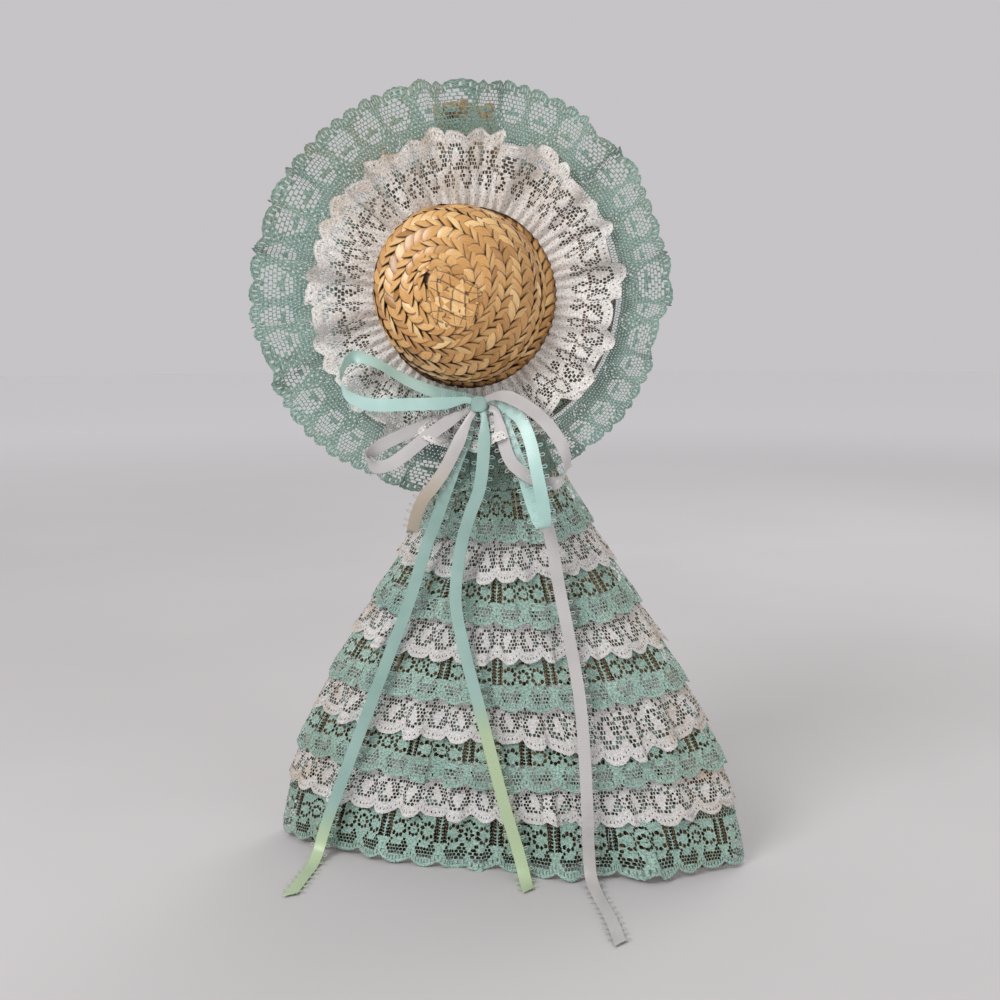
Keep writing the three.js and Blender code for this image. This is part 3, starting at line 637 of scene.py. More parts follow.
# The last colour of the braid is its gap colour, painted shade along the leaves' outlines.
BRAID = BraidFinish(
    "braided_straw", (0.38, 0.17, 0.04), (0.66, 0.345, 0.105), (0.97, 0.68, 0.33), (0.06, 0.022, 0.008)
)
BROOMCORN = BroomcornFinish("broomcorn", (0.15, 0.08, 0.04), (0.42, 0.26, 0.12), (0.64, 0.44, 0.24))
# The fan's broomcorn is a darker copy of the broomcorn: painted shade on straw seen through the lace.
SHADED_BROOMCORN = BroomcornFinish("broomcorn_fan", (0.11, 0.06, 0.03), (0.27, 0.165, 0.08), (0.44, 0.30, 0.165))
TWINE = TwineFinish("twine", (0.66, 0.56, 0.40), (0.40, 0.31, 0.20))
GLUE = GlueFinish("glue", (0.72, 0.66, 0.48), (0.80, 0.76, 0.64))
FLOOR = FloorFinish("floor", (0.60, 0.58, 0.59), (0.57, 0.55, 0.56), (0.955, 0.935, 0.975))


@dataclass(frozen=True)
class FanShape:
    """Outline of the broom's fan, as in the part's source."""

    neck_z: float = 178.0
    neck_half_width: float = 15.0
    neck_half_depth: float = 13.5
    half_width: float = 95.0
    half_depth: float = 17.5
    flare: float = 1.25
    shoulder_z: float = 128.0
    side_rise: float = 7.0
    lace_end_angle: float = 112.0
    lace_steps: int = 401

    def width_at(self, z: Array) -> Array:
        """Half-width of the fan at a height."""
        share = np.clip(1.0 - z / self.neck_z, 0.0, 1.0)
        opening = np.sin(0.5 * math.pi * share**self.flare)
        return self.neck_half_width + (self.half_width - self.neck_half_width) * opening

    def depth_at(self, z: Array) -> Array:
        """Half-depth of the fan at a height."""
        share = np.clip(1.0 - z / self.neck_z, 0.0, 1.0)
        return self.neck_half_depth + (self.half_depth - self.neck_half_depth) * share

    def point(self, angle: Array, z: Array, offset: Array) -> Array:
        """Points round the fan.

        Args:
            angle: Turn from the middle of the front, in radians.
            z: Height.
            offset: Distance outside the straw.

        Returns:
            Points, with x, y and z in the last axis.
        """
        x = (self.width_at(z) + offset) * np.sin(angle)
        y = -(self.depth_at(z) + offset) * np.cos(angle)
        return np.stack(np.broadcast_arrays(x, y, z), axis=-1)

    def rise_at(self, angle: Array) -> Array:
        """How much higher a row of lace is at an angle than in the middle."""
        return self.side_rise * np.sin(angle) ** 2

    def lace_angle(self, share: Array) -> Array:
        """Angle at a share of the way along a row of lace, by even steps round the fan.

        Args:
            share: Share from one end of the row to the other.

        Returns:
            Angles in radians.
        """
        end = math.radians(self.lace_end_angle)
        angles = np.linspace(-end, end, self.lace_steps)
        outline = self.point(angles, np.full_like(angles, 0.5 * self.shoulder_z), np.zeros_like(angles))
        lengths = lengths_along(outline)
        return np.interp(share * lengths[-1], lengths, angles)


FAN = FanShape()


@dataclass(frozen=True)
class HandleLean:
    """Lean of the handle to one side of the fan, from the neck up."""

    degrees: float = 7.3

    def at(self, z: Array) -> Array:
        """Sideways place of the handle's middle at a height."""
        return math.tan(math.radians(self.degrees)) * (FAN.neck_z - z)


LEAN = HandleLean()


@dataclass(frozen=True)
class HatFrame:
    """Where the hat sits: its axis points forward and a little up."""

    centre_x: float = -8.97
    centre_z: float = 228.5
    back_y: float = -18.278
    pitch: float = 3.0
    brim_front: float = 3.35

    def to_doll(self, x: Array, y: Array, height: Array) -> Array:
        """Turns points of the hat into points of the doll.

        Args:
            x: Sideways.
            y: Up along the brim.
            height: Out of the brim, towards the front.

        Returns:
            Points, with x, y and z in the last axis.
        """
        turn = math.radians(90.0 - self.pitch)
        back = self.back_y + y * math.cos(turn) - height * math.sin(turn)
        up = self.centre_z + y * math.sin(turn) + height * math.cos(turn)
        return np.stack(np.broadcast_arrays(self.centre_x + x, back, up), axis=-1)


HAT_FRAME = HatFrame()


class LacePattern(ABC):
    """One repeat of a lace. Its net has four cells of the mesh to each hole, both ways.

    Places are u along the lace and v up from the lowest point of its scallops, in millimetres.
    """

    pitch_along = 1.5
    pitch_across = 1.3
    repeat: float
    width: float
    lobe: float
    scallops: int
    scallop_depth: float
    scallop_power: float
    picot: float

    @property
    def cell(self) -> Pair:
        """Size of a mesh cell, along and across."""
        return self.pitch_along / 4.0, self.pitch_across / 4.0

    def phase(self, u: Array) -> Array:
        """Place within the repeat, from minus half to half of it."""
        return (u + 0.5 * self.repeat) % self.repeat - 0.5 * self.repeat

    @staticmethod
    def oval(u: Array, v: Array, half_u: float, half_v: float, turn: float = 0.0) -> Array:
        """Rough distance to an oval, negative inside.

        Args:
            u: Place along, from its middle.
            v: Place across, from its middle.
            half_u: Half-size along.
            half_v: Half-size across.
            turn: Turn in degrees.

        Returns:
            Distances in millimetres.
        """
        angle = math.radians(turn)
        along = u * math.cos(angle) + v * math.sin(angle)
        across = v * math.cos(angle) - u * math.sin(angle)
        return (np.hypot(along / half_u, across / half_v) - 1.0) * min(half_u, half_v)

    @staticmethod
    def arc(middle: Pair, reach: Pair, first: float, last: float, count: int, hole: float) -> List[Triple]:
        """Spaces round holes evenly along an arc.

        Args:
            middle: Middle of the arc.
            reach: Its radius along and across.
            first: Angle of the first hole, in degrees from the direction along the lace.
            last: Angle of the last hole.
            count: Number of holes.
            hole: Radius of each hole.

        Returns:
            Place along, place across and radius of each hole.
        """
        return [
            (middle[0] + reach[0] * math.cos(angle), middle[1] + reach[1] * math.sin(angle), hole)
            for angle in np.radians(np.linspace(first, last, count))
        ]

    @staticmethod
    def pierce(field_value: Array, u: Array, v: Array, holes: Sequence[Triple]) -> Array:
        """Cuts round holes out of the thread.

        Args:
            field_value: Thread before the holes are cut.
            u: Places along, from the middle of the repeat.
            v: Places across.
            holes: Place along, place across and radius of each hole.

        Returns:
            Thread with the holes.
        """
        for hole_u, hole_v, radius in holes:
            field_value = np.minimum(field_value, np.hypot(u - hole_u, v - hole_v) - radius)
        return field_value

    def column(self, u: Array) -> Array:
        """Middle of the nearest column of the net's holes."""
        shift = 0.5 * self.cell[0]
        return np.round((u - shift) / self.pitch_along) * self.pitch_along + shift

    def edge(self, u: Array) -> Array:
        """Height of the scalloped edge, with its picots."""
        turn = self.scallops * math.pi * self.phase(u) / (2.0 * self.lobe)
        scallop = np.abs(np.sin(turn)) ** self.scallop_power
        picots = self.picot * np.abs(np.sin(math.pi * u / self.pitch_along))
        return self.scallop_depth * (1.0 - scallop) + picots

    @abstractmethod
    def hole_radius(self, u: Array, v: Array) -> Array:
        """Radius of the net hole at a place, negative where the lace is closed."""

    @abstractmethod
    def finish_field(self, field_value: Array, u: Array, v: Array) -> Array:
        """Adds the threads and slots that don't follow the net."""

    def threads(self, u: Array, v: Array) -> Array:
        """Thread at a place: positive on thread, negative in a hole.

        Args:
            u: Places along.
            v: Places across.

        Returns:
            Rough distance to the edge of the thread, in millimetres.
        """
        cell_u, cell_v = self.cell
        row = np.floor((v - 0.5 * cell_v) / self.pitch_across)
        value = np.full(np.broadcast(u, v).shape, 9.0)
        for line in (row, row + 1):
            centre_v = line * self.pitch_across + 0.5 * cell_v
            shift = np.where(line % 2 == 0, 0.5 * cell_u, 0.5 * cell_u + 0.5 * self.pitch_along)
            centre_u = np.round((u - shift) / self.pitch_along) * self.pitch_along + shift
            distance = np.hypot(u - centre_u, 1.08 * (v - centre_v))
            value = np.minimum(value, distance - self.hole_radius(centre_u, centre_v))
        value = self.finish_field(value, u, v)
        return np.minimum(value, v - self.edge(u))

    def relief(self, u: Array, v: Array) -> Array:
        """Height of the thread: closed motifs stand up from the net, with ribs along the edge.

        Args:
            u: Places along.
            v: Places across.

        Returns:
            Heights in millimetres.
        """
        closed = np.clip((0.4 - self.hole_radius(u, v)) / 0.5, 0.0, 1.0)
        for axis in (0, 1, 0, 1):
            closed = (np.roll(closed, 1, axis) + closed + np.roll(closed, -1, axis)) / 3.0
        above = v - self.edge(u)
        ribs = 0.1 * np.cos(2.0 * math.pi * above / 1.15) * (1.0 - smooth_step(2.8, 3.8, above))
        return 0.3 * closed + ribs


@dataclass(frozen=True)
class MintPattern(LacePattern):
    """Mint lace: ladders of net between leaves and small flowers, over half-round windows of net.

    Scallops counts the scallops of its edge to each window.
    """

    ground: float = CLOSED
    chain: float = 0.84
    net: float = 0.57
    window_half: float = 3.5
    has_ladders: bool = True
    scallops: int = 1
    scallop_depth: float = 2.5

    repeat = 27.0
    width = 34.0
    lobe = 6.75
    scallop_power = 0.75
    picot = 0.22
    edge_band = 3.1
    header_band = 2.4
    ladder_half = 3.4
    ladder_low = 9.4
    ladder_high = 20.0
    flower = (2.0 * lobe, 13.4)

    def hole_radius(self, u: Array, v: Array) -> Array:
        """Radius of the net hole at a place, negative where the lace is closed."""
        side = np.abs(self.phase(u))
        above = v - self.edge(u)
        radius = np.full(np.broadcast(u, v).shape, self.ground)
        window_v = self.edge_band + self.window_half
        window = self.oval(side - self.lobe, v - window_v, 5.3, self.window_half)
        radius = np.where(window < 0.0, self.net, radius)
        closed = self.oval(side - self.lobe, v - window_v - 1.8, 2.5, 1.3) < 0.0
        closed |= np.hypot(side - self.flower[0], v - self.flower[1]) < 3.2
        if self.has_ladders:
            closed |= self.oval(side - 6.4, v - 13.7, 2.2, 2.0) < 0.0
            closed |= (side < self.ladder_half) & (v > self.ladder_low) & (v < self.ladder_high)
        radius = np.where(closed, CLOSED, radius)
        radius = np.where(v > self.ladder_high, 0.68, radius)
        closed = self.oval(side - self.lobe, v - 25.5, 2.4, 1.7) < 0.0
        closed |= (above < self.edge_band) | (v > self.width - self.header_band)
        return np.where(closed, CLOSED, radius)

    def finish_field(self, field_value: Array, u: Array, v: Array) -> Array:
        """Cuts the columns of each ladder, the rings of holes and the slots along the edge."""
        side = np.abs(self.phase(u))
        middle = 0.5 * (self.ladder_low + self.ladder_high)
        tall = np.abs(v - middle) - 0.5 * (self.ladder_high - self.ladder_low)
        zigzag = v + 0.45 * np.abs(side - 0.5 * self.ladder_half)
        rung = np.abs(zigzag % self.pitch_across - 0.5 * self.pitch_across)
        column = np.abs(side - 0.5 * self.ladder_half) - 0.5 * self.ladder_half + 0.25
        holes = self.arc(self.flower, (2.3, 2.3), 90.0, 270.0, 5, 0.88 * self.chain)
        value = field_value
        if self.has_ladders:
            value = np.minimum(value, np.maximum(np.maximum(column, tall), 0.15 - rung))
            holes += self.arc((6.5, self.flower[1]), (2.9, 2.9), -140.0, 140.0, 8, self.chain)
        holes += self.arc(self.flower, (4.6, 5.4), 95.0, 145.0, 4, 0.7 * self.chain)
        holes.append((*self.flower, 0.3))
        value = self.pierce(value, side, v, holes)
        above = v - self.edge(u)
        slot = np.maximum(np.abs(u - self.column(u)) - 0.3, np.abs(above - 1.9) - 0.75)
        return np.minimum(value, slot)


@dataclass(frozen=True)
class WhitePattern(LacePattern):
    """White lace: a leaf in a ring of net on each scallop, fans of net above, and a holed edge."""

    speck: float = 0.3

    repeat = 24.0
    width = 27.0
    lobe = 6.0
    scallops = 1
    scallop_depth = 3.0
    scallop_power = 0.65
    picot = 0.2
    edge_band = 4.0
    header_band = 2.6
    tilt = 22.0

    def hole_radius(self, u: Array, v: Array) -> Array:
        """Radius of the net hole at a place, negative where the lace is closed."""
        phase = self.phase(u)
        side = np.abs(phase)
        above = v - self.edge(u)
        speckle = (np.floor(u / self.pitch_along) + np.floor(v / self.pitch_across)) % 3
        radius = np.where(speckle == 0, self.speck, CLOSED)
        ring = self.oval(side - self.lobe, v - 9.2, 5.0, 4.8, self.tilt)
        radius = np.where(ring < 0.0, np.where(ring > -1.0, 0.68, 0.55), radius)
        radius = np.where(self.oval(side - self.lobe, v - 9.4, 2.0, 2.9, self.tilt) < 0.0, CLOSED, radius)
        fan = self.oval(phase, v - 16.5, 4.3, 3.7)
        vein = np.abs(np.sin(4.0 * np.arctan2(phase, v - 11.5)))
        radius = np.where(fan < 0.0, np.where(vein > 0.45, 0.58, CLOSED), radius)
        bud = self.oval(side - 2.0 * self.lobe, v - 16.5, 3.4, 3.9)
        radius = np.where(bud < 0.0, 0.58, radius)
        closed = self.oval(side - 2.0 * self.lobe, v - 16.2, 1.7, 2.1) < 0.0
        closed |= (above < self.edge_band) | (v > self.width - self.header_band)
        return np.where(closed, CLOSED, radius)

    def finish_field(self, field_value: Array, u: Array, v: Array) -> Array:
        """Adds the row of round holes along the edge and the drops between the scallops."""
        above = v - self.edge(u)
        value = np.minimum(field_value, np.hypot(u - self.column(u), above - 1.9) - 0.36)
        drops = [(foot, height, 0.45) for foot in (0.0, 2.0 * self.lobe) for height in (7.8, 9.4, 11.0)]
        return self.pierce(value, np.abs(self.phase(u)), v, drops)


@dataclass(frozen=True)
class Gathers:
    """Uneven folds of hand-gathered lace, as a wave from about -1 to 1 along it."""

    count: int
    seed: int

    def wave(self, share: Array) -> Array:
        """Fold at a share of the way along the lace. The wave closes on itself.

        Args:
            share: Share of the way along.

        Returns:
            Values from about -1 to 1.
        """
        phases = np.random.default_rng(self.seed).uniform(0.0, 2.0 * math.pi, 4)
        turn = 2.0 * math.pi * share
        warped = self.count * turn
        warped = warped + 0.9 * np.sin(3.0 * turn + phases[0]) + 0.6 * np.sin(7.0 * turn + phases[1])
        swell = 0.72 + 0.28 * np.sin(round(0.37 * self.count) * turn + phases[2])
        return np.sin(warped + phases[3]) * swell

    def lean(self, wave: Array, share: Array) -> Array:
        """Slope of the folds at shares of the way along, about 1 at the steepest."""
        slope = np.gradient(wave, axis=0) / np.maximum(np.gradient(share, axis=0), 1e-9)
        return slope / (2.0 * math.pi * self.count)


@dataclass
class LaceStrip:
    """A strip of lace laid on a surface, with its holes cut out of the mesh.

    Place gives points from shares along and drops across, 0 at the header and 1 at the edge. Stain gives
    the stain at points, from 0 to 1.
    """

    pattern: LacePattern
    repeats: int
    width: float
    place: Callable[[Array, Array], Array]
    stain: Callable[[Array], Array]

    @property
    def length(self) -> float:
        """Length of the strip."""
        return self.repeats * self.pattern.repeat

    def cut(self) -> Tuple[Array, Array, Array]:
        """Cuts the pattern.

        Returns:
            Places along and across of the grid's points, drawn to the edges of the thread, and which
            of its cells are thread.
        """
        cell_u, cell_v = self.pattern.cell
        columns = int(round(self.length / cell_u))
        rows = int(round(self.width / cell_v))
        u = np.repeat(np.arange(columns + 1)[:, None] * cell_u, rows + 1, axis=1)
        v = np.repeat(np.arange(rows + 1)[None, :] * cell_v, columns + 1, axis=0)
        value = self.pattern.threads(u, v)
        slope_u, slope_v = np.gradient(value, cell_u, cell_v)
        steep = slope_u**2 + slope_v**2 + 1e-6
        near = np.abs(value) < 0.5 * cell_v * np.sqrt(steep)
        near[0] = False
        near[-1] = False
        limit = 0.42 * cell_v
        move_u = np.where(near, np.clip(-value * slope_u / steep, -limit, limit), 0.0)
        move_v = np.where(near, np.clip(-value * slope_v / steep, -limit, limit), 0.0)
        middle_u = 0.5 * (u[:-1, :-1] + u[1:, 1:])
        middle_v = 0.5 * (v[:-1, :-1] + v[1:, 1:])
        kept = self.pattern.threads(middle_u, middle_v) > 0.0
        return u + move_u, np.clip(v + move_v, 0.0, self.width), kept

    def build(self, name: str, outward: float) -> Tuple[Piece, float]:
        """Builds the strip.

        Args:
            name: Name of the piece.
            outward: 1 or -1, the side on which the motifs stand up.

        Returns:
            The piece and its flat area without the holes, in square millimetres.
        """
        u, v, kept = self.cut()
        turn = 2.0 * math.pi * u / self.length
        bends = round(self.length / 6.0)
        stray_u = 0.15 * np.sin(bends * turn + 1.1 * v) + 0.1 * np.sin(round(1.7 * bends) * turn - 0.8 * v)
        stray_v = 0.14 * np.sin(round(0.8 * bends) * turn + 0.9 * v)
        loose = v * (self.width - v) * (4.0 / self.width**2)
        share = np.clip((u + stray_u * loose) / self.length, 0.0, 1.0)
        points = self.place(share, 1.0 - (v + stray_v * loose) / self.width)
        along = np.gradient(points, axis=0)
        across = np.gradient(points, axis=1)
        normal = outward * unit(np.cross(along, across))
        points = points + normal * self.pattern.relief(u, v)[..., None]
        columns, rows = u.shape
        faces = grid_faces(columns, rows)[kept.ravel()]
        used, faces = np.unique(faces, return_inverse=True)
        points = points.reshape(-1, 3)[used]
        flat = np.stack([u, v], axis=-1).reshape(-1, 2)[used]
        mesh = PieceMesh()
        mesh.add(points, [faces.reshape(-1, 4)], flat, stain=self.stain(points))
        return mesh.build(name), float(kept.sum()) * self.pattern.cell[0] * self.pattern.cell[1]


@dataclass(frozen=True)
class Swell:
    """A place where a row of lace stands out and hangs lower than the rest of it."""

    x: float
    reach: float
    out: float
    down: float

    def at(self, x: Array) -> Array:
        """Strength of the swell at places across the doll."""
        return np.exp(-(((x - self.x) / self.reach) ** 2))


@dataclass
class SkirtRow:
    """One gathered row of lace on the fan."""

    name: str
    node: str
    pattern: LacePattern
    finish: LaceFinish
    slot: Slot
    bottom: float
    flare: float
    gathers: Gathers
    fold: float
    fullness: float
    stain_at_ends: float
    width: float
    rise: float = 1.0
    swells: Sequence[Swell] = ()

    def place(self, share: Array, drop: Array) -> Array:
        """Points of the row.

        Args:
            share: Share of the way along.
            drop: Share of the way down from the header.

        Returns:
            Points in the doll's frame.
        """
        wave = self.gathers.wave(share)
        lean = self.gathers.lean(wave, share)
        opened = drop**1.3
        angle = FAN.lace_angle(np.clip(share - 0.09 * lean * wave * opened / self.gathers.count, 0.0, 1.0))
        at_side = smooth_step(0.7, 0.98, np.abs(np.sin(angle)))
        pucker = 0.25 * np.sin(2.0 * math.pi * 9.0 * self.gathers.count * share) * (1.0 - drop) ** 2
        fold = self.fold * wave * opened * (1.0 - 0.4 * at_side)
        offset = 0.95 + self.flare * drop * (1.0 - 0.5 * at_side) + fold + pucker
        sag = 0.9 * np.sin(2.0 * math.pi * (1.7 * share + 0.13 * self.gathers.seed)) * drop
        z = self.bottom + self.width - self.width * drop + self.rise * FAN.rise_at(angle) + sag
        x = FAN.width_at(np.maximum(z, 0.0)) * np.sin(angle)
        for swell in self.swells:
            offset = offset + swell.out * swell.at(x) * drop**2
            z = z - swell.down * swell.at(x) * drop
        return FAN.point(angle, np.maximum(z, 0.35), offset)

    def stain(self, points: Array) -> Array:
        """Age of the lace, brownest at the ends of the row."""
        reach = np.abs(points[:, 0]) / (FAN.width_at(points[:, 2]) + 8.0)
        return np.clip(0.12 + self.stain_at_ends * smooth_step(0.55, 1.0, reach), 0.0, 1.0)

    def build(self) -> None:
        angles = FAN.lace_angle(np.linspace(0.0, 1.0, 200))
        edge = FAN.point(angles, np.full_like(angles, self.bottom), np.full_like(angles, self.flare))
        repeats = int(round(self.fullness * lengths_along(edge)[-1] / self.pattern.repeat))
        sew_lace(self, repeats, -1.0)


def sheet_area(piece: Piece) -> float:
    """Area of a piece's faces in square metres."""
    areas = np.empty(len(piece.data.polygons))
    piece.data.polygons.foreach_get("area", areas)
    return float(areas.sum())


def sew_lace(row: "SkirtRow | HatRuffle", repeats: int, outward: float) -> None:
    """Args:
        row: The row.
        repeats: Number of repeats along it.
        outward: 1 or -1, the side on which the motifs stand up.
    """
    strip = LaceStrip(row.pattern, repeats, row.width, row.place, row.stain)
    piece, area = strip.build(row.name, outward)
    dress(piece, row.slot, row.finish.material(), row.node)
    LOG.info("%s: area %.4f of %.4f", piece.name, sheet_area(piece), area * MM * MM)


@dataclass
class Skirt:
    """Nine rows of lace over the fan, mint and white by turns."""

    pair_count: int = 5
    hem_z: float = 0.6
    top_z: float = 167.0
    white_drop: float = 15.0
    white_width: float = 23.4
    mint_flare: float = 6.9
    white_flare: float = 6.4
    mint_fold: float = 1.2
    white_fold: float = 2.3
    mint_fullness: float = 1.06
    white_fullness: float = 1.14
    mint_stain: float = 0.25
    white_stain: float = 0.75
    hem_rise: float = 0.1
    hem_swells: Sequence[Swell] = (
        Swell(25.0, 9.0, 8.0, 0.0), Swell(55.0, 11.0, 9.0, 0.0), Swell(-40.0, 18.0, 2.5, 0.0),
    )
    low_pair: int = 3
    low_swells: Sequence[Swell] = (Swell(42.0, 20.0, 1.2, 8.5),)
    mint: MintPattern = field(default_factory=MintPattern)
    hem: MintPattern = field(default_factory=lambda: MintPattern(net=0.66))
    white: WhitePattern = field(default_factory=WhitePattern)

    def rows(self) -> List[SkirtRow]:
        """Lists the rows from the top of the skirt to its hem."""
        pitch = (self.top_z - self.mint.width - self.hem_z) / (self.pair_count - 1)
        rows = []
        for pair in range(1, self.pair_count + 1):
            bottom = self.hem_z + (self.pair_count - pair) * pitch
            last = pair == self.pair_count
            rows.append(SkirtRow(
                name=f"lace_mint_{pair}", node=f"mint_row_{pair}",
                pattern=self.hem if last else self.mint, finish=MINT_LACE, slot=Slot.MINT_LACE,
                bottom=bottom, flare=self.mint_flare, gathers=Gathers(6 + pair, 10 + pair),
                fold=self.mint_fold, fullness=self.mint_fullness, stain_at_ends=self.mint_stain,
                width=self.mint.width, rise=self.hem_rise if last else 1.0,
                swells=self.hem_swells if last else (),
            ))
            if last:
                break
            rows.append(SkirtRow(
                name=f"lace_white_{pair}", node=f"white_row_{pair}", pattern=self.white,
                finish=WHITE_LACE, slot=Slot.WHITE_LACE, bottom=bottom - self.white_drop,
                flare=self.white_flare, gathers=Gathers(9 + pair, 30 + pair), fold=self.white_fold,
                fullness=self.white_fullness, stain_at_ends=self.white_stain, width=self.white_width,
                swells=self.low_swells if pair == self.low_pair else (),
            ))
        return rows

    def build(self) -> None:
        """Builds every row."""
        for row in self.rows():
            row.build()


@dataclass
class HatRuffle:
    """A ring of gathered lace on the brim of the hat.

    It reaches longer further than its width at the turn longest, in degrees, and wider further at both
    sides. Its low folds reach out by the share low_reach of what its high folds are drawn in.
    """

    name: str
    node: str
    pattern: LacePattern
    finish: LaceFinish
    slot: Slot
    repeats: int
    inner: float
    width: float
    flare: float
    folds: Sequence[Tuple[Gathers, float]]
    curl: float
    pucker: float
    opening: float
    longer: float
    longest: float
    stain_at_top: float
    header_side: float = 0.0
    low_reach: float = 1.0
    wider: float = 0.0
    seat: float = 0.5
    least_gap: float = 0.15
    puckers: int = 64
    draw_in: float = 0.02

    def place(self, share: Array, drop: Array) -> Array:
        """Points of the ruffle.

        Args:
            share: Share of the way round, from the lowest point.
            drop: Share of the way out from the gathered header.

        Returns:
            Points in the doll's frame.
        """
        opened = drop**self.opening
        height = HAT_FRAME.brim_front + self.seat + self.flare * drop
        turn = 2.0 * math.pi * share
        reach = self.width + self.longer * np.cos(turn - math.radians(self.longest))
        reach = reach + self.wider * np.sin(turn) ** 2
        for gathers, depth in self.folds:
            wave = gathers.wave(share)
            height = height + depth * wave * opened
            turn = turn - 2.0 * self.curl * gathers.lean(wave, share) * wave * opened / gathers.count
        pucker = self.pucker * np.sin(2.0 * math.pi * self.puckers * share) * (1.0 - drop) ** 2
        rise = height - HAT_FRAME.brim_front - self.flare * drop
        shorter = self.draw_in * np.where(rise < 0.0, self.low_reach * rise, rise)
        radius = self.inner + reach * drop * (1.0 - shorter)
        x = radius * np.sin(turn) + self.header_side * (1.0 - drop)
        y = -radius * np.cos(turn)
        return HAT_FRAME.to_doll(x, y, np.maximum(height + pucker, HAT_FRAME.brim_front + self.least_gap))

    def stain(self, points: Array) -> Array:
        """Age of the lace, brownest at the top of the hat."""
        high = smooth_step(HAT_FRAME.centre_z + 10.0, HAT_FRAME.centre_z + 60.0, points[:, 2])
        left = smooth_step(11.0, -69.0, points[:, 0])
        return np.clip(0.15 + self.stain_at_top * high * (0.45 + 0.55 * left), 0.0, 1.0)

    def build(self) -> None:
        sew_lace(self, self.repeats, 1.0)


@dataclass
class HatRuffles:
    """The mint ruffle of the brim and the white one over it."""

    mint_inner: float = 47.0
    mint_width: float = 32.0
    mint_repeats: int = 20
    white_inner: float = 34.4
    white_width: float = 26.2
    white_repeats: int = 21
    mint: MintPattern = field(
        default_factory=lambda: MintPattern(
            ground=0.3, chain=0.5, window_half=5.6, has_ladders=False, scallops=2, scallop_depth=1.7
        )
    )
    white: WhitePattern = field(default_factory=WhitePattern)

    def build(self) -> None:
        """Builds both ruffles."""
        # The mint ruffle takes the darker copy of the mint lace, painted shade.
        HatRuffle(
            name="lace_hat_mint", node="hat_mint_ruffle", pattern=self.mint, finish=SHADED_HAT_MINT_LACE,
            slot=Slot.MINT_LACE, repeats=self.mint_repeats, inner=self.mint_inner, width=self.mint_width,
            flare=4.4, folds=((Gathers(10, 51), 3.4), (Gathers(19, 52), 1.2)), curl=0.5, pucker=0.35,
            opening=1.5, longer=7.0, longest=-118.0, stain_at_top=0.5, low_reach=0.2, wider=3.4,
        ).build()
        # The white ruffle takes the lighter copy of the white lace, painted light.
        HatRuffle(
            name="lace_hat_white", node="hat_white_ruffle", pattern=self.white, finish=LIT_HAT_WHITE_LACE,
            slot=Slot.WHITE_LACE, repeats=self.white_repeats, inner=self.white_inner,
            width=self.white_width, flare=9.2, folds=((Gathers(15, 61), 5.2), (Gathers(27, 62), 1.6)),
            curl=0.42, pucker=1.0, opening=0.75, longer=3.2, longest=-125.0, stain_at_top=0.8,
            header_side=-1.6,
        ).build()


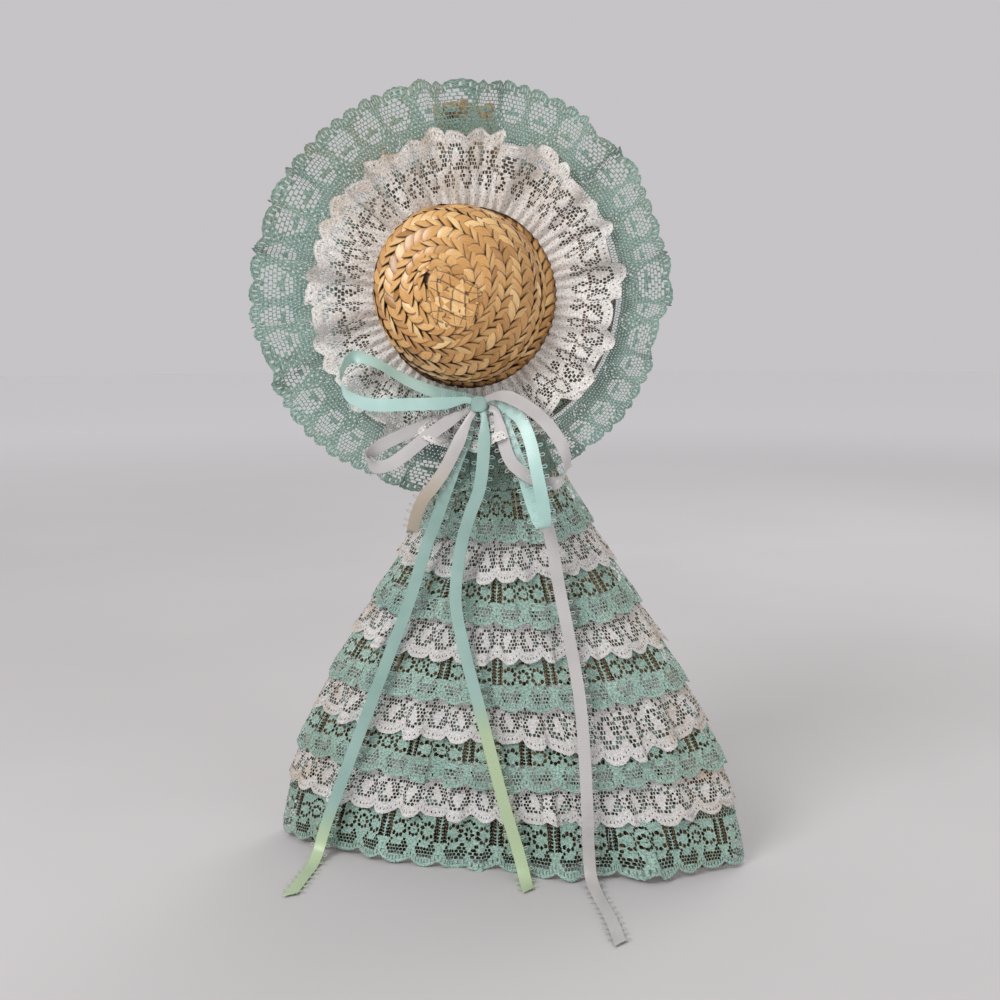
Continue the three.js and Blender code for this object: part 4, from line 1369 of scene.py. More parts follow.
@dataclass
class StrawHat:
    """Hat of one straw braid, sewn in a spiral from its tip to the edge of the brim."""

    crown_radius: float = 33.3
    crown_height: float = 40.0
    brim_radius: float = 55.0
    wall: float = 2.0
    fillet: float = 1.5
    turns: int = 12
    tip_shift: Pair = (-6.0, 5.5)
    squeeze: Pair = (0.91, 0.955)
    crown_side: float = -1.6
    ring_drift: Pair = (3.0, -3.4)
    drift_end: float = 0.36
    leaf_pitch: float = 4.5
    plait_place: Pair = (6.0, -6.4)
    plait_pitch: float = 4.1
    plait_turn: float = -12.0
    leaf_slant: float = 33.0
    leaf_half_length: float = 4.7
    leaf_half_breadth: float = 1.7
    foot_blend: float = 7.0
    shell_rise: float = -1.2
    shell_wall: float = 0.4
    seed: int = 7

    def profile(self) -> Tuple[Array, Array, float]:
        """Profile of the hat from its tip to the edge of the brim.

        Returns:
            Points by even length, their directions, and the whole length.
        """
        t = np.linspace(0.0, 1.0, 200)[:, None]
        tip = np.array([0.0, self.crown_height])
        top = np.array([0.6 * self.crown_radius, self.crown_height])
        shoulder = np.array([self.crown_radius, 0.82 * self.crown_height])
        wall = np.array([self.crown_radius, 0.32 * self.crown_height])
        dome = (1 - t) ** 3 * tip + 3 * (1 - t) ** 2 * t * top + 3 * (1 - t) * t**2 * shoulder + t**3 * wall
        foot = np.array([self.crown_radius, self.wall + self.fillet])
        corner = np.array([self.crown_radius, self.wall])
        brim = np.array([self.crown_radius + self.fillet, self.wall])
        bend = (1 - t) ** 2 * foot + 2 * (1 - t) * t * corner + t**2 * brim
        path = np.concatenate([dome, bend, [[self.brim_radius, self.wall]]])
        lengths = lengths_along(path)
        even = np.linspace(0.0, lengths[-1], 900)
        points = np.stack([np.interp(even, lengths, path[:, axis]) for axis in (0, 1)], axis=1)
        return points, unit(np.gradient(points, axis=0)), float(lengths[-1])

    def place(self, share: Array, rise: Array, angle: Array) -> Array:
        """Points on the hat.

        Args:
            share: Share of the way from the tip to the edge of the brim.
            rise: Distance outside the surface.
            angle: Turn round the hat, in radians.

        Returns:
            Points in the doll's frame.
        """
        points, runs, _ = self.profile()
        steps = np.linspace(0.0, 1.0, len(points))
        at = np.clip(share, 0.0, 1.0)
        run_r = np.interp(at, steps, runs[:, 0])
        run_h = np.interp(at, steps, runs[:, 1])
        radius = np.maximum(np.interp(at, steps, points[:, 0]) - run_h * rise, 0.0)
        height = np.interp(at, steps, points[:, 1]) + run_r * rise
        lean = (np.maximum(height - self.wall, 0.0) / self.crown_height) ** 2
        oval_x, oval_y = self.oval(height)
        aside = self.crown_side * self.above_brim(height)
        drift = np.sin(math.pi * np.clip(at / self.drift_end, 0.0, 1.0)) ** 2
        x = radius * oval_x * np.cos(angle) + self.tip_shift[0] * lean + aside + self.ring_drift[0] * drift
        y = radius * oval_y * np.sin(angle) + self.tip_shift[1] * lean + self.ring_drift[1] * drift
        return HAT_FRAME.to_doll(x, y, height)

    def above_brim(self, height: Array) -> Array:
        """Share of the crown's own form at a height, from 0 at the brim to 1 above its foot."""
        return smooth_step(self.wall, self.wall + self.foot_blend, height)

    def oval(self, height: Array) -> Tuple[Array, Array]:
        """Scale of the crown across and up, which is a little oval, at heights above the brim."""
        share = self.above_brim(height)
        return 1.0 - (1.0 - self.squeeze[0]) * share, 1.0 - (1.0 - self.squeeze[1]) * share

    def leaf(self) -> Tuple[Array, Array, Array]:
        """Models one leaf of straw: a grid drawn in towards both ends.

        Returns:
            Its points, from -1 to 1 along and across, its faces and how near each point is to its outline.
        """
        deselect()
        bpy.ops.mesh.primitive_grid_add(x_subdivisions=8, y_subdivisions=4, size=2.0)
        grid = bpy.context.object
        bpy.ops.object.mode_set(mode="EDIT")
        bpy.ops.mesh.select_all(action="DESELECT")
        bpy.ops.object.mode_set(mode="OBJECT")
        vertices = grid.data.vertices
        outline = np.array([max(abs(vertex.co.x) ** 8, abs(vertex.co.y) ** 2) for vertex in vertices])
        for reach, share in ((1.0, 0.08), (0.75, 0.5), (0.5, 0.8), (0.25, 0.96)):
            for end in (-1.0, 1.0):
                for vertex in grid.data.vertices:
                    vertex.select = abs(vertex.co.x - end * reach) < 0.1
                bpy.ops.object.mode_set(mode="EDIT")
                bpy.ops.mesh.select_mode(type="VERT")
                bpy.ops.transform.resize(value=(1.0, share, 1.0))
                bpy.ops.mesh.select_all(action="DESELECT")
                bpy.ops.object.mode_set(mode="OBJECT")
        points = np.array([vertex.co[:2] for vertex in grid.data.vertices])
        faces = np.array([face.vertices[:] for face in grid.data.polygons])
        bpy.data.objects.remove(grid)
        return points, faces, outline

    def spiral(self) -> Tuple[Array, Array]:
        """Length of braid against turns from the tip.

        Returns:
            Turns and lengths in millimetres.
        """
        points, _, length = self.profile()
        turns = np.linspace(0.5, self.turns + 0.5, 4000)
        at = (turns - 0.5) / self.turns
        radius = np.interp(at, np.linspace(0.0, 1.0, len(points)), points[:, 0])
        around = 2.0 * math.pi * radius
        step = np.hypot(around, length / self.turns) * (turns[1] - turns[0])
        return turns, np.concatenate([[0.0], np.cumsum(step)[:-1]])

    def braid(self, inside: bool) -> PieceMesh:
        """Lays two columns of leaves along the spiral as a plait.

        Args:
            inside: True for the face of the braid towards the handle.

        Returns:
            The mesh of all leaves.
        """
        leaf_points, leaf_faces, outline = self.leaf()
        rng = np.random.default_rng(self.seed + inside)
        turns, lengths = self.spiral()
        _, _, profile_length = self.profile()
        half = 0.5 * profile_length / self.turns
        count = int(lengths[-1] / self.leaf_pitch)
        mesh = PieceMesh()
        for number in range(count):
            for side in (-1.0, 1.0):
                middle = (number + 0.5 + 0.25 * side) * self.leaf_pitch + rng.normal(0.0, 0.2)
                near_tip = float(1.0 - smooth_step(1.4, 3.2, np.interp(middle, lengths, turns)))
                slant = math.radians(self.leaf_slant + 10.0 * near_tip + rng.normal(0.0, 5.5))
                size = self.leaf_half_length - 1.7 * near_tip + rng.normal(0.0, 0.4)
                breadth = self.leaf_half_breadth + 0.9 * near_tip + rng.normal(0.0, 0.16)
                tilt, lift = rng.normal(0.0, 0.16), rng.normal(0.0, 0.12)
                x, y = leaf_points[:, 0], leaf_points[:, 1]
                along = middle + x * size * math.cos(slant) + side * y * breadth * math.sin(slant)
                inwards = x * size * math.sin(slant) - side * y * breadth * math.cos(slant)
                across = side * (0.42 * half - inwards)
                across = np.clip(across, -1.02 * half, 1.02 * half)
                turn = np.interp(along, lengths, turns)
                share = (turn - 0.5) / self.turns + across / profile_length
                rise = 0.44 * side * y + 0.45 * (1.0 - x**2) + 0.16 * (1.0 - y**2) + tilt * x + lift
                if inside:
                    rise = -self.wall - 0.6 * rise
                points = self.place(share, rise, 2.0 * math.pi * turn)
                faces = leaf_faces if inside else leaf_faces[:, ::-1]
                flat = np.stack([x * size + 9.0 * number, y * breadth + 4.0 * side], axis=1)
                # Painted shade: leaves of the brim, which lie under the lace, take a darker tone and most of
                # the gap colour.
                brim = np.zeros(len(x)) if inside else smooth_step(0.66, 0.72, share)
                tone = np.clip(rng.normal(0.5, 0.17) - 0.3 * brim, 0.05, 1.0)
                mesh.add(points, [faces], flat, tone=tone, edge=np.maximum(outline, 0.85 * brim))
        if not inside:
            self.add_plait(mesh, rng)
        return mesh

    def add_plait(self, mesh: PieceMesh, rng: np.random.Generator) -> None:
        """Adds the flat plait beside the start of the braid, four strands each way.

        Args:
            mesh: Mesh of the leaves.
            rng: Source of their tones.
        """
        points, faces, outline = self.leaf()
        profile, _, _ = self.profile()
        for strand in range(8):
            row, way = strand % 4, strand // 4
            along = 2.2 * self.plait_pitch * points[:, 0]
            across = 0.49 * self.plait_pitch * points[:, 1] + (row - 1.5) * self.plait_pitch
            weave = 0.4 * np.sin(math.pi * (along / self.plait_pitch + row + way))
            turn = math.radians(self.plait_turn + 90.0 * way)
            x = self.plait_place[0] + along * math.cos(turn) - across * math.sin(turn)
            y = self.plait_place[1] + along * math.sin(turn) + across * math.cos(turn)
            share = np.interp(np.hypot(x, y), profile[:, 0], np.linspace(0.0, 1.0, len(profile)))
            flat = np.stack([along + 40.0 * strand, across], axis=1)
            tone = np.clip(rng.normal(0.55, 0.12), 0.0, 1.0)
            mesh.add(self.place(share, 1.0 + weave, np.arctan2(y, x)), [faces], flat, tone=tone, edge=outline)

    def shell(self) -> Piece:
        """Models the body under the leaves: a ring drawn along the profile, with thickness."""
        points, runs, _ = self.profile()
        rise = self.shell_rise
        stations = np.linspace(len(points) - 1, 12, 26).astype(int)
        deselect()
        rim = points[stations[0]]
        bpy.ops.mesh.primitive_circle_add(vertices=56, radius=rim[0] * MM, location=(0.0, 0.0, 0.0))
        shell = bpy.context.object
        bpy.ops.object.mode_set(mode="EDIT")
        bpy.ops.mesh.select_all(action="SELECT")
        bpy.ops.transform.translate(value=(0.0, 0.0, (rim[1] + rise) * MM))
        radius, height, shift = np.full(2, rim[0]), rim[1] + rise, np.zeros(2)
        for station in stations[1:]:
            place = points[station] + rise * np.array([-runs[station][1], runs[station][0]])
            lean = (max(place[1] - self.wall, 0.0) / self.crown_height) ** 2
            wanted = np.array(self.tip_shift) * lean
            wanted[0] += self.crown_side * self.above_brim(place[1])
            step = (*((wanted - shift) * MM), (place[1] - height) * MM)
            bpy.ops.mesh.extrude_region_move(TRANSFORM_OT_translate={"value": step})
            wide = place[0] * np.array(self.oval(place[1]))
            bpy.ops.transform.resize(value=(*(wide / radius), 1.0))
            radius, height, shift = wide, place[1], wanted
        bpy.ops.mesh.edge_face_add()
        bpy.ops.mesh.select_all(action="SELECT")
        bpy.ops.mesh.normals_make_consistent(inside=False)
        bpy.ops.object.mode_set(mode="OBJECT")
        top = max(shell.data.polygons, key=lambda face: face.center.z)
        if top.normal.z < 0.0:
            shell.data.flip_normals()
        return shell

    def build(self) -> None:
        """Builds the shell and both faces of the braid."""
        material = BRAID.material()
        shell = self.shell()
        shell.name = "hat_shell"
        turn = Matrix.Rotation(math.radians(90.0 - HAT_FRAME.pitch), 4, "X")
        centre = Vector((HAT_FRAME.centre_x, HAT_FRAME.back_y, HAT_FRAME.centre_z))
        shift = Matrix.Translation(centre * MM)
        shell.matrix_world = shift @ turn
        pick(shell)
        bpy.ops.object.transform_apply(location=True, rotation=True, scale=True)
        wall = shell.modifiers.new("wall", "SOLIDIFY")
        wall.thickness = self.shell_wall * MM
        wall.offset = -1.0
        bpy.ops.object.modifier_apply(modifier=wall.name)
        bpy.ops.object.shade_smooth()
        # Painted shade: the shell shows only between the leaves, so it takes the darkest tone and most of the
        # gap colour.
        fill_layer(shell, "tone", 0.05)
        fill_layer(shell, "edge", 0.85)
        shell.data.uv_layers[0].name = "flat"
        dress(shell, Slot.BRAIDED_STRAW, material, "straw_hat")
        dress(self.braid(False).build("hat_braid_front"), Slot.BRAIDED_STRAW, material, "straw_hat")
        dress(self.braid(True).build("hat_braid_back"), Slot.BRAIDED_STRAW, material, "straw_hat")


@dataclass
class Broom:
    """The whisk broom: stalks of the handle, straw of the fan, and twine."""

    height: float = 305.0
    handle_radius: float = 13.0
    twine: float = 1.6
    twine_pitch: float = 2.1
    neck_turns: int = 3
    handle_turns: int = 2
    sewing_turns: int = 2
    sewn_z: float = 151.0
    seat_gap: float = 0.35
    handle_binding_rise: float = 16.65
    twine_lay: float = 5.2
    stalk_rings: Sequence[Tuple[int, float, float]] = (
        (19, 10.7, 1.95), (13, 7.0, 1.9), (8, 3.7, 1.8), (1, 0.0, 2.0),
    )
    straw_layers: Sequence[Tuple[float, int]] = (
        (0.975, 300), (0.9, 250), (0.78, 190), (0.6, 120), (0.35, 60),
    )
    seed: int = 3

    def rod(self, sides: int, rings: Sequence[Pair]) -> Tuple[Array, List[Array]]:
        """Models one straight stalk by extruding a ring upwards.

        Args:
            sides: Sides of the stalk.
            rings: Height and radius of each ring, both as shares.

        Returns:
            Its points, and its faces by number of corners.
        """
        deselect()
        bpy.ops.mesh.primitive_circle_add(vertices=sides, radius=1.0, fill_type="NGON")
        stalk = bpy.context.object
        bpy.ops.object.mode_set(mode="EDIT")
        bpy.ops.mesh.select_all(action="SELECT")
        bpy.ops.mesh.flip_normals()
        height, radius = rings[0]
        bpy.ops.transform.resize(value=(radius, radius, 1.0))
        for next_height, next_radius in rings[1:]:
            step = (0.0, 0.0, next_height - height)
            bpy.ops.mesh.extrude_region_move(TRANSFORM_OT_translate={"value": step})
            bpy.ops.transform.resize(value=(next_radius / radius, next_radius / radius, 1.0))
            height, radius = next_height, next_radius
        bpy.ops.object.mode_set(mode="OBJECT")
        points = np.array([vertex.co[:] for vertex in stalk.data.vertices])
        groups: Dict[int, List[List[int]]] = {}
        for face in stalk.data.polygons:
            groups.setdefault(len(face.vertices), []).append(list(face.vertices))
        bpy.data.objects.remove(stalk)
        return points, [np.array(group) for group in groups.values()]

    def build_handle(self) -> None:
        """Bundles stalks into the handle, cut unevenly at the top."""
        rng = np.random.default_rng(self.seed)
        rings = ((0.0, 0.9), (0.3, 1.0), (0.315, 1.07), (0.33, 0.98), (0.7, 1.0), (0.97, 0.94), (1.0, 0.82))
        rod_points, rod_faces = self.rod(9, rings)
        mesh = PieceMesh()
        for count, ring_radius, stalk_radius in self.stalk_rings:
            for number in range(count):
                angle = 2.0 * math.pi * (number + rng.uniform(-0.12, 0.12)) / count
                top = self.height - rng.uniform(0.0, 4.0)
                bottom = FAN.neck_z - 4.0
                z = bottom + (top - bottom) * rod_points[:, 2]
                thick = stalk_radius * rng.uniform(0.88, 1.08)
                wander = 0.35 * np.sin(0.02 * z + rng.uniform(0.0, 6.0))
                x = LEAN.at(z) + ring_radius * math.cos(angle) + thick * rod_points[:, 0] + wander
                y = ring_radius * math.sin(angle) + thick * rod_points[:, 1] + wander
                around = np.arctan2(rod_points[:, 1], rod_points[:, 0])
                flat = np.stack([z, 2.0 * around + 15.0 * number], axis=1)
                tone = np.clip(rng.normal(0.5, 0.17), 0.05, 1.0)
                mesh.add(np.stack([x, y, z], axis=1), rod_faces, flat, tone=tone)
        dress(mesh.build("handle_bundle"), Slot.BROOMCORN, BROOMCORN.material(), "handle_stalks")

    def build_fan(self) -> None:
        """Fills the fan with straws that spread from the neck, in three bundles."""
        rng = np.random.default_rng(self.seed + 1)
        rings = tuple((share, 1.0) for share in (0.0, 0.1, 0.3, 0.5, 0.68, 0.84, 1.0))
        rod_points, rod_faces = self.rod(4, rings)
        meshes = {"left": PieceMesh(), "centre": PieceMesh(), "right": PieceMesh()}
        for depth, count in self.straw_layers:
            for number in range(count):
                angle = 2.0 * math.pi * (number + rng.uniform(-0.3, 0.3)) / count
                across = depth * math.sin(angle)
                along = depth * math.cos(angle)
                end = max(0.0, rng.normal(0.4, 0.9))
                z = FAN.neck_z + 2.0 + (end - FAN.neck_z - 2.0) * rod_points[:, 2]
                thick = np.interp(z, [0.0, 12.0, 60.0, 128.0, 178.0], [0.42, 0.6, 0.85, 0.62, 0.5])
                thick = thick * rng.uniform(0.8, 1.25)
                loose = smooth_step(FAN.shoulder_z, 0.0, z)
                sway = loose * (1.4 * np.sin(0.035 * z + rng.uniform(0.0, 6.28)) + rng.normal(0.0, 1.2))
                room = 1.0 - 0.9 / FAN.depth_at(z)
                x = across * (FAN.width_at(z) - 0.8) + thick * rod_points[:, 0] + sway
                y = -along * FAN.depth_at(z) * room + thick * rod_points[:, 1] + 0.25 * sway
                limit = FAN.depth_at(z) - 0.3
                y = np.clip(y, -limit, limit + 2.0)
                around = np.arctan2(rod_points[:, 1], rod_points[:, 0])
                flat = np.stack([z, 1.2 * around + 7.0 * number], axis=1)
                tone = np.clip(rng.normal(0.5, 0.2), 0.02, 1.0) - 0.2 * smooth_step(30.0, 0.0, z)
                bundle = "centre" if abs(across) < 1.0 / 3.0 else ("left" if across < 0.0 else "right")
                points = np.stack([x, y, np.maximum(z, 0.0)], axis=1)
                meshes[bundle].add(points, rod_faces, flat, tone=np.clip(tone, 0.0, 1.0))
        # The fan's straw takes the darker copy of the broomcorn, painted shade.
        material = SHADED_BROOMCORN.material()
        for bundle, mesh in meshes.items():
            dress(mesh.build(f"straw_{bundle}"), Slot.BROOMCORN, material, f"bristles_{bundle}")

    def wind(self, name: str, node: str, line: Array, outward: Array) -> None:
        """Winds one length of three-ply twine along a line.

        Args:
            name: Name of the piece.
            node: CAD node that it replaces.
            line: Middle of the twine.
            outward: Direction away from what it is wound on, at each point.
        """
        ahead = unit(np.gradient(line, axis=0))
        across = unit(np.cross(ahead, outward))
        away = np.cross(across, ahead)
        length = lengths_along(line)
        sides = 12
        angle = 2.0 * math.pi * np.arange(sides) / sides
        twist = 2.0 * math.pi * length[:, None] / self.twine_lay
        radius = 0.5 * self.twine * (0.88 + 0.14 * np.abs(np.cos(1.5 * (angle - twist))))
        points = (
            line[:, None]
            + away[:, None] * (radius * np.cos(angle))[..., None]
            + across[:, None] * (radius * np.sin(angle))[..., None]
        )
        flat = np.stack(np.broadcast_arrays(length[:, None], (angle - twist) * 0.8), axis=-1)
        mesh = PieceMesh()
        caps = np.array([np.arange(sides)[::-1], (len(line) - 1) * sides + np.arange(sides)])
        mesh.add(points.reshape(-1, 3), [tube_faces(len(line), sides), caps], flat.reshape(-1, 2))
        dress(mesh.build(name), Slot.TWINE, TWINE.material(), node)

    def bind_handle(self, name: str, node: str, bottom: float, turns: int) -> None:
        """Winds a binding round the handle.

        Args:
            name: Name of the piece.
            node: CAD node that it replaces.
            bottom: Height of its lowest edge.
            turns: Number of turns.
        """
        turn = np.linspace(0.0, turns, 150 * turns)
        angle = 2.0 * math.pi * turn
        outward = np.stack([np.sin(angle), np.cos(angle), np.zeros_like(angle)], axis=1)
        radius = self.handle_radius + self.seat_gap + 0.5 * self.twine
        line = radius * outward
        line[:, 2] = bottom + 0.5 * self.twine + turn * self.twine_pitch
        line[:, 0] += LEAN.at(line[:, 2])
        self.wind(name, node, line, outward)

    def sew_fan(self) -> None:
        """Winds the row of twine that flattens the fan."""
        turn = np.linspace(0.0, self.sewing_turns, 220 * self.sewing_turns)
        angle = math.pi - 2.0 * math.pi * turn
        z = self.sewn_z + FAN.rise_at(angle) - turn * self.twine_pitch
        line = FAN.point(angle, z, np.full_like(angle, 2.0 * self.seat_gap + 0.5 * self.twine))
        outward = np.stack([np.sin(angle), -np.cos(angle), np.zeros_like(angle)], axis=1)
        self.wind("fan_sewing", "sewing_twine", line, outward)

    def build(self) -> None:
        """Builds the broom and gives the glue its finish."""
        self.build_handle()
        self.build_fan()
        neck_z = FAN.neck_z + 2.0 * self.seat_gap
        handle_z = HAT_FRAME.centre_z + self.handle_binding_rise
        self.bind_handle("neck_twine", "neck_binding", neck_z, self.neck_turns)
        self.bind_handle("handle_twine", "handle_binding", handle_z, self.handle_turns)
        self.sew_fan()
        glue = GLUE.material()
        for node in ("glue_upper", "glue_lower", "bow_glue"):
            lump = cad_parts[node]
            lump.data.materials.clear()
            lump.data.materials.append(glue)


@dataclass
class Ribbon:
    """One length of picot-edged satin ribbon along a route of points and turns of its face."""

    node: str
    route: Sequence[Tuple[float, float, float, float]]
    axis: Axis
    finish: SatinFinish
    slot: Slot
    far_end: FarEnd
    fade_from: float = -1.0
    fade_reach: float = 22.0
    width: float = 4.8
    thickness: float = 0.22
    knot_depth: float = 3.0
    pinch: float = 0.5
    picot_pitch: float = 4.2
    picot_reach: float = 1.9

    def line(self) -> Tuple[Array, Array]:
        """Middle line of the ribbon by even steps, with the turn of its face.

        Returns:
            Points, and turns in degrees.
        """
        route = np.array(self.route, dtype=float)
        centre = np.array(sum(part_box("bow_knot"), Vector())) * 0.5 / MM
        lead = [(0, 0)] if self.far_end is FarEnd.BARE else [(0, 0), (len(route), -1)]
        for where, end in reversed(lead):
            inner = route[end].copy()
            inner[:3] += self.knot_depth * unit(centre - inner[:3])
            route = np.insert(route, where, inner, axis=0)
        places = route[:, :3]
        points = np.vstack([2 * places[:1] - places[1:2], places, 2 * places[-1:] - places[-2:-1]])
        samples, turns = [], []
        t = np.linspace(0.0, 1.0, 40, endpoint=False)[:, None]
        for index in range(len(route) - 1):
            p0, p1, p2, p3 = points[index:index + 4]
            d0, d1, d2 = (math.sqrt(np.linalg.norm(b - a)) for a, b in ((p0, p1), (p1, p2), (p2, p3)))
            first = d1 * ((p1 - p0) / d0 - (p2 - p0) / (d0 + d1) + (p2 - p1) / d1)
            second = d1 * ((p2 - p1) / d1 - (p3 - p1) / (d1 + d2) + (p3 - p2) / d2)
            cubic = 2 * p1 - 2 * p2 + first + second
            square = -3 * p1 + 3 * p2 - 2 * first - second
            samples.append(p1 + first * t + square * t**2 + cubic * t**3)
            turns.append(route[index, 3] + (route[index + 1, 3] - route[index, 3]) * t[:, 0])
        samples.append(places[-1:])
        turns.append(route[-1:, 3])
        dense = np.concatenate(samples)
        lengths = lengths_along(dense)
        even = np.linspace(0.0, lengths[-1], int(lengths[-1] / 0.9) + 2)
        middle = np.stack([np.interp(even, lengths, dense[:, axis]) for axis in range(3)], axis=1)
        return middle, np.interp(even, lengths, np.concatenate(turns))

    def frames(self, middle: Array, turns: Array) -> Tuple[Array, Array, Array]:
        """Directions of the ribbon along its line.

        Args:
            middle: Its middle line.
            turns: Turn of its face at each point, in degrees.

        Returns:
            Directions ahead, across and out of its face.
        """
        axis = np.array(self.axis.value)
        front = np.array([0.0, -1.0, 0.0])
        angle = np.radians(turns)[:, None]
        facing = front * np.cos(angle) + np.cross(axis, front) * np.sin(angle)
        ahead = unit(np.gradient(middle, axis=0))
        across = unit(np.cross(ahead, facing))
        return ahead, across, np.cross(across, ahead)

    def fade(self, points: Array) -> Array:
        """How far the ribbon has faded, from the height where that starts."""
        if self.fade_from < 0.0:
            return np.zeros(len(points))
        return smooth_step(self.fade_from, self.fade_from - self.fade_reach, points[:, 2])

    def add_picots(self, mesh: PieceMesh, edge: Array, outward: Array, ahead: Array, side: float) -> None:
        """Adds the loops of thread along one edge.

        Args:
            mesh: Mesh of the ribbon.
            edge: Points along the edge.
            outward: Direction out of the edge at each point.
            ahead: Direction along the ribbon at each point.
            side: 1 or -1, which edge it is.
        """
        lengths = lengths_along(edge)
        steps, sides, radius = 10, 4, 0.15
        bow = np.linspace(-0.42 * math.pi, 1.42 * math.pi, steps)
        ring = 2.0 * math.pi * np.arange(sides) / sides
        start = 0.5 * self.picot_pitch * (1.0 + 0.4 * side)
        for place in np.arange(start, lengths[-1] - 1.0, self.picot_pitch):
            index = int(np.searchsorted(lengths, place))
            out, along = outward[index], ahead[index]
            up = np.cross(along, out)
            spine = (
                edge[index]
                + np.outer(0.3 * self.picot_reach * np.cos(bow), along)
                + np.outer(0.5 * self.picot_reach * (1.0 + np.sin(bow)) - 0.05, out)
            )
            ahead_loop = unit(np.gradient(spine, axis=0))
            beside = np.cross(ahead_loop, up)
            points = (
                spine[:, None]
                + radius * np.cos(ring)[None, :, None] * up
                + radius * np.sin(ring)[None, :, None] * beside[:, None]
            ).reshape(-1, 3)
            flat = np.stack([np.full(len(points), place), np.full(len(points), 3.0 * side)], axis=1)
            mesh.add(points, [tube_faces(steps, sides)], flat, fade=self.fade(points))

    def build(self) -> None:
        middle, turns = self.line()
        ahead, across, face = self.frames(middle, turns)
        lanes = np.array([-0.5, -0.485, -0.25, 0.0, 0.25, 0.485, 0.5])
        cup = 0.12 * (1.0 - 4.0 * lanes**2)
        lengths = lengths_along(middle)
        loop_lanes = np.concatenate([lanes, lanes[::-1]])
        loop_rise = np.concatenate([cup + 0.5 * self.thickness, cup[::-1] - 0.5 * self.thickness])
        from_knot = lengths if self.far_end is FarEnd.BARE else np.minimum(lengths, lengths[-1] - lengths)
        full = self.pinch + (1.0 - self.pinch) * smooth_step(2.0, 13.0, from_knot)
        points = (
            middle[:, None]
            + across[:, None] * (self.width * full[:, None] * loop_lanes)[..., None]
            + face[:, None] * (loop_rise / full[:, None])[..., None]
        )
        if self.far_end is FarEnd.BARE:
            notch = 0.45 * self.width * np.sign(loop_lanes) * loop_lanes**2 * 4.0
            points[-1] += ahead[-1] * notch[:, None]
        sides = len(loop_lanes)
        flat = np.stack(np.broadcast_arrays(lengths[:, None], self.width * loop_lanes), axis=-1)
        mesh = PieceMesh()
        points = points.reshape(-1, 3)
        ends = np.array([np.arange(sides), (len(middle) - 1) * sides + np.arange(sides)[::-1]])
        faces = [tube_faces(len(middle), sides)[:, ::-1], ends]
        mesh.add(points, faces, flat.reshape(-1, 2), fade=self.fade(points))
        for side in (-1.0, 1.0):
            edge = middle + side * 0.5 * self.width * full[:, None] * across
            self.add_picots(mesh, edge, side * across, ahead, side)
        piece = mesh.build(f"ribbon_{self.node}")
        dress(piece, self.slot, self.finish.material(), self.node)


MINT_LOOP_LEFT = (
    (-8.9, -33.2, 190.4, 0), (-15.8, -35.5, 189.4, 0), (-28, -39, 189, 0), (-46, -41.5, 189.3, 5),
    (-53.4, -42, 193.3, 50), (-55.6, -40.5, 200.2, 90), (-52, -38.5, 206.4, 105), (-43.4, -37, 204.6, 100),
    (-30.6, -34.5, 197.2, 103), (-18, -31.5, 192.3, 115), (-9, -29.6, 191.4, 160),
)
WHITE_LOOP_LEFT = (
    (-8.9, -31.6, 186.2, 0), (-15.2, -35, 182.5, 0), (-22.3, -38.3, 177.3, 0), (-37, -41.5, 166.3, 0),
    (-43, -42.3, 165.6, 40), (-45.8, -41, 168.8, 90), (-41.6, -39, 172.8, 150), (-27.2, -35.8, 179.5, 180),
    (-15.4, -32, 183.8, 180), (-8.9, -29.4, 185.2, 180),
)
WHITE_LOOP_RIGHT = (
    (0.3, -33.6, 191.4, 0), (7.2, -37, 192, 0), (19.2, -40.3, 185.7, 0), (27.1, -41, 176.8, 25),
    (30.3, -40.5, 168, 60), (28, -39.3, 161.1, 110), (23, -38.7, 159.9, 150), (15.7, -38.4, 162.4, 180),
    (9.2, -37.7, 167.4, 180), (5.5, -36.3, 176.1, 180), (3.7, -34.8, 182.5, 180), (2.3, -33.6, 186.5, 180),
)
MINT_LOOP_RIGHT = (
    (1.2, -31.6, 189.9, 0), (6.5, -33.5, 187.3, 0), (11.8, -36, 184.2, 0), (16, -39.5, 176.9, 0),
    (19.7, -43, 163.1, 0), (22.2, -43, 149.3, 0), (21.8, -41.5, 143.5, 90), (20, -39, 145, 150),
    (17.1, -37.2, 151, 180), (12.8, -36.5, 164.7, 180), (10.2, -36.2, 171, 180), (6.7, -34, 179.2, 180),
    (4.2, -31.6, 185.6, 180), (2.3, -29.9, 189.5, 180),
)
WHITE_TAIL_LEFT = (
    (-7.7, -33.4, 183.5, 0), (-12.4, -36.4, 172.6, 0), (-16.7, -37.2, 164.2, 0), (-20.3, -37, 158.9, 0),
    (-25.4, -34.5, 153, 0), (-29.8, -29.5, 145.5, 0), (-32.8, -24, 138, 0),
)
MINT_TAIL_LEFT = (
    (-6.8, -30.4, 183, 0), (-9.2, -33, 176, 0), (-11.9, -34.9, 168.7, 0), (-16.6, -34.8, 156.2, 0),
    (-21.2, -31, 144.9, 0), (-26.3, -25.6, 134.3, 0), (-34.8, -22.4, 110, 0), (-47.7, -22.5, 76.6, 0),
    (-61.1, -22.5, 42.1, 0), (-68.8, -22.6, 22.1, 0), (-72.5, -22.9, 11.5, -15), (-74.2, -26, 3.8, -55),
    (-74.4, -32.5, 0.9, -90), (-74.4, -44, 0.7, -90), (-74.4, -60, 0.7, -90),
)
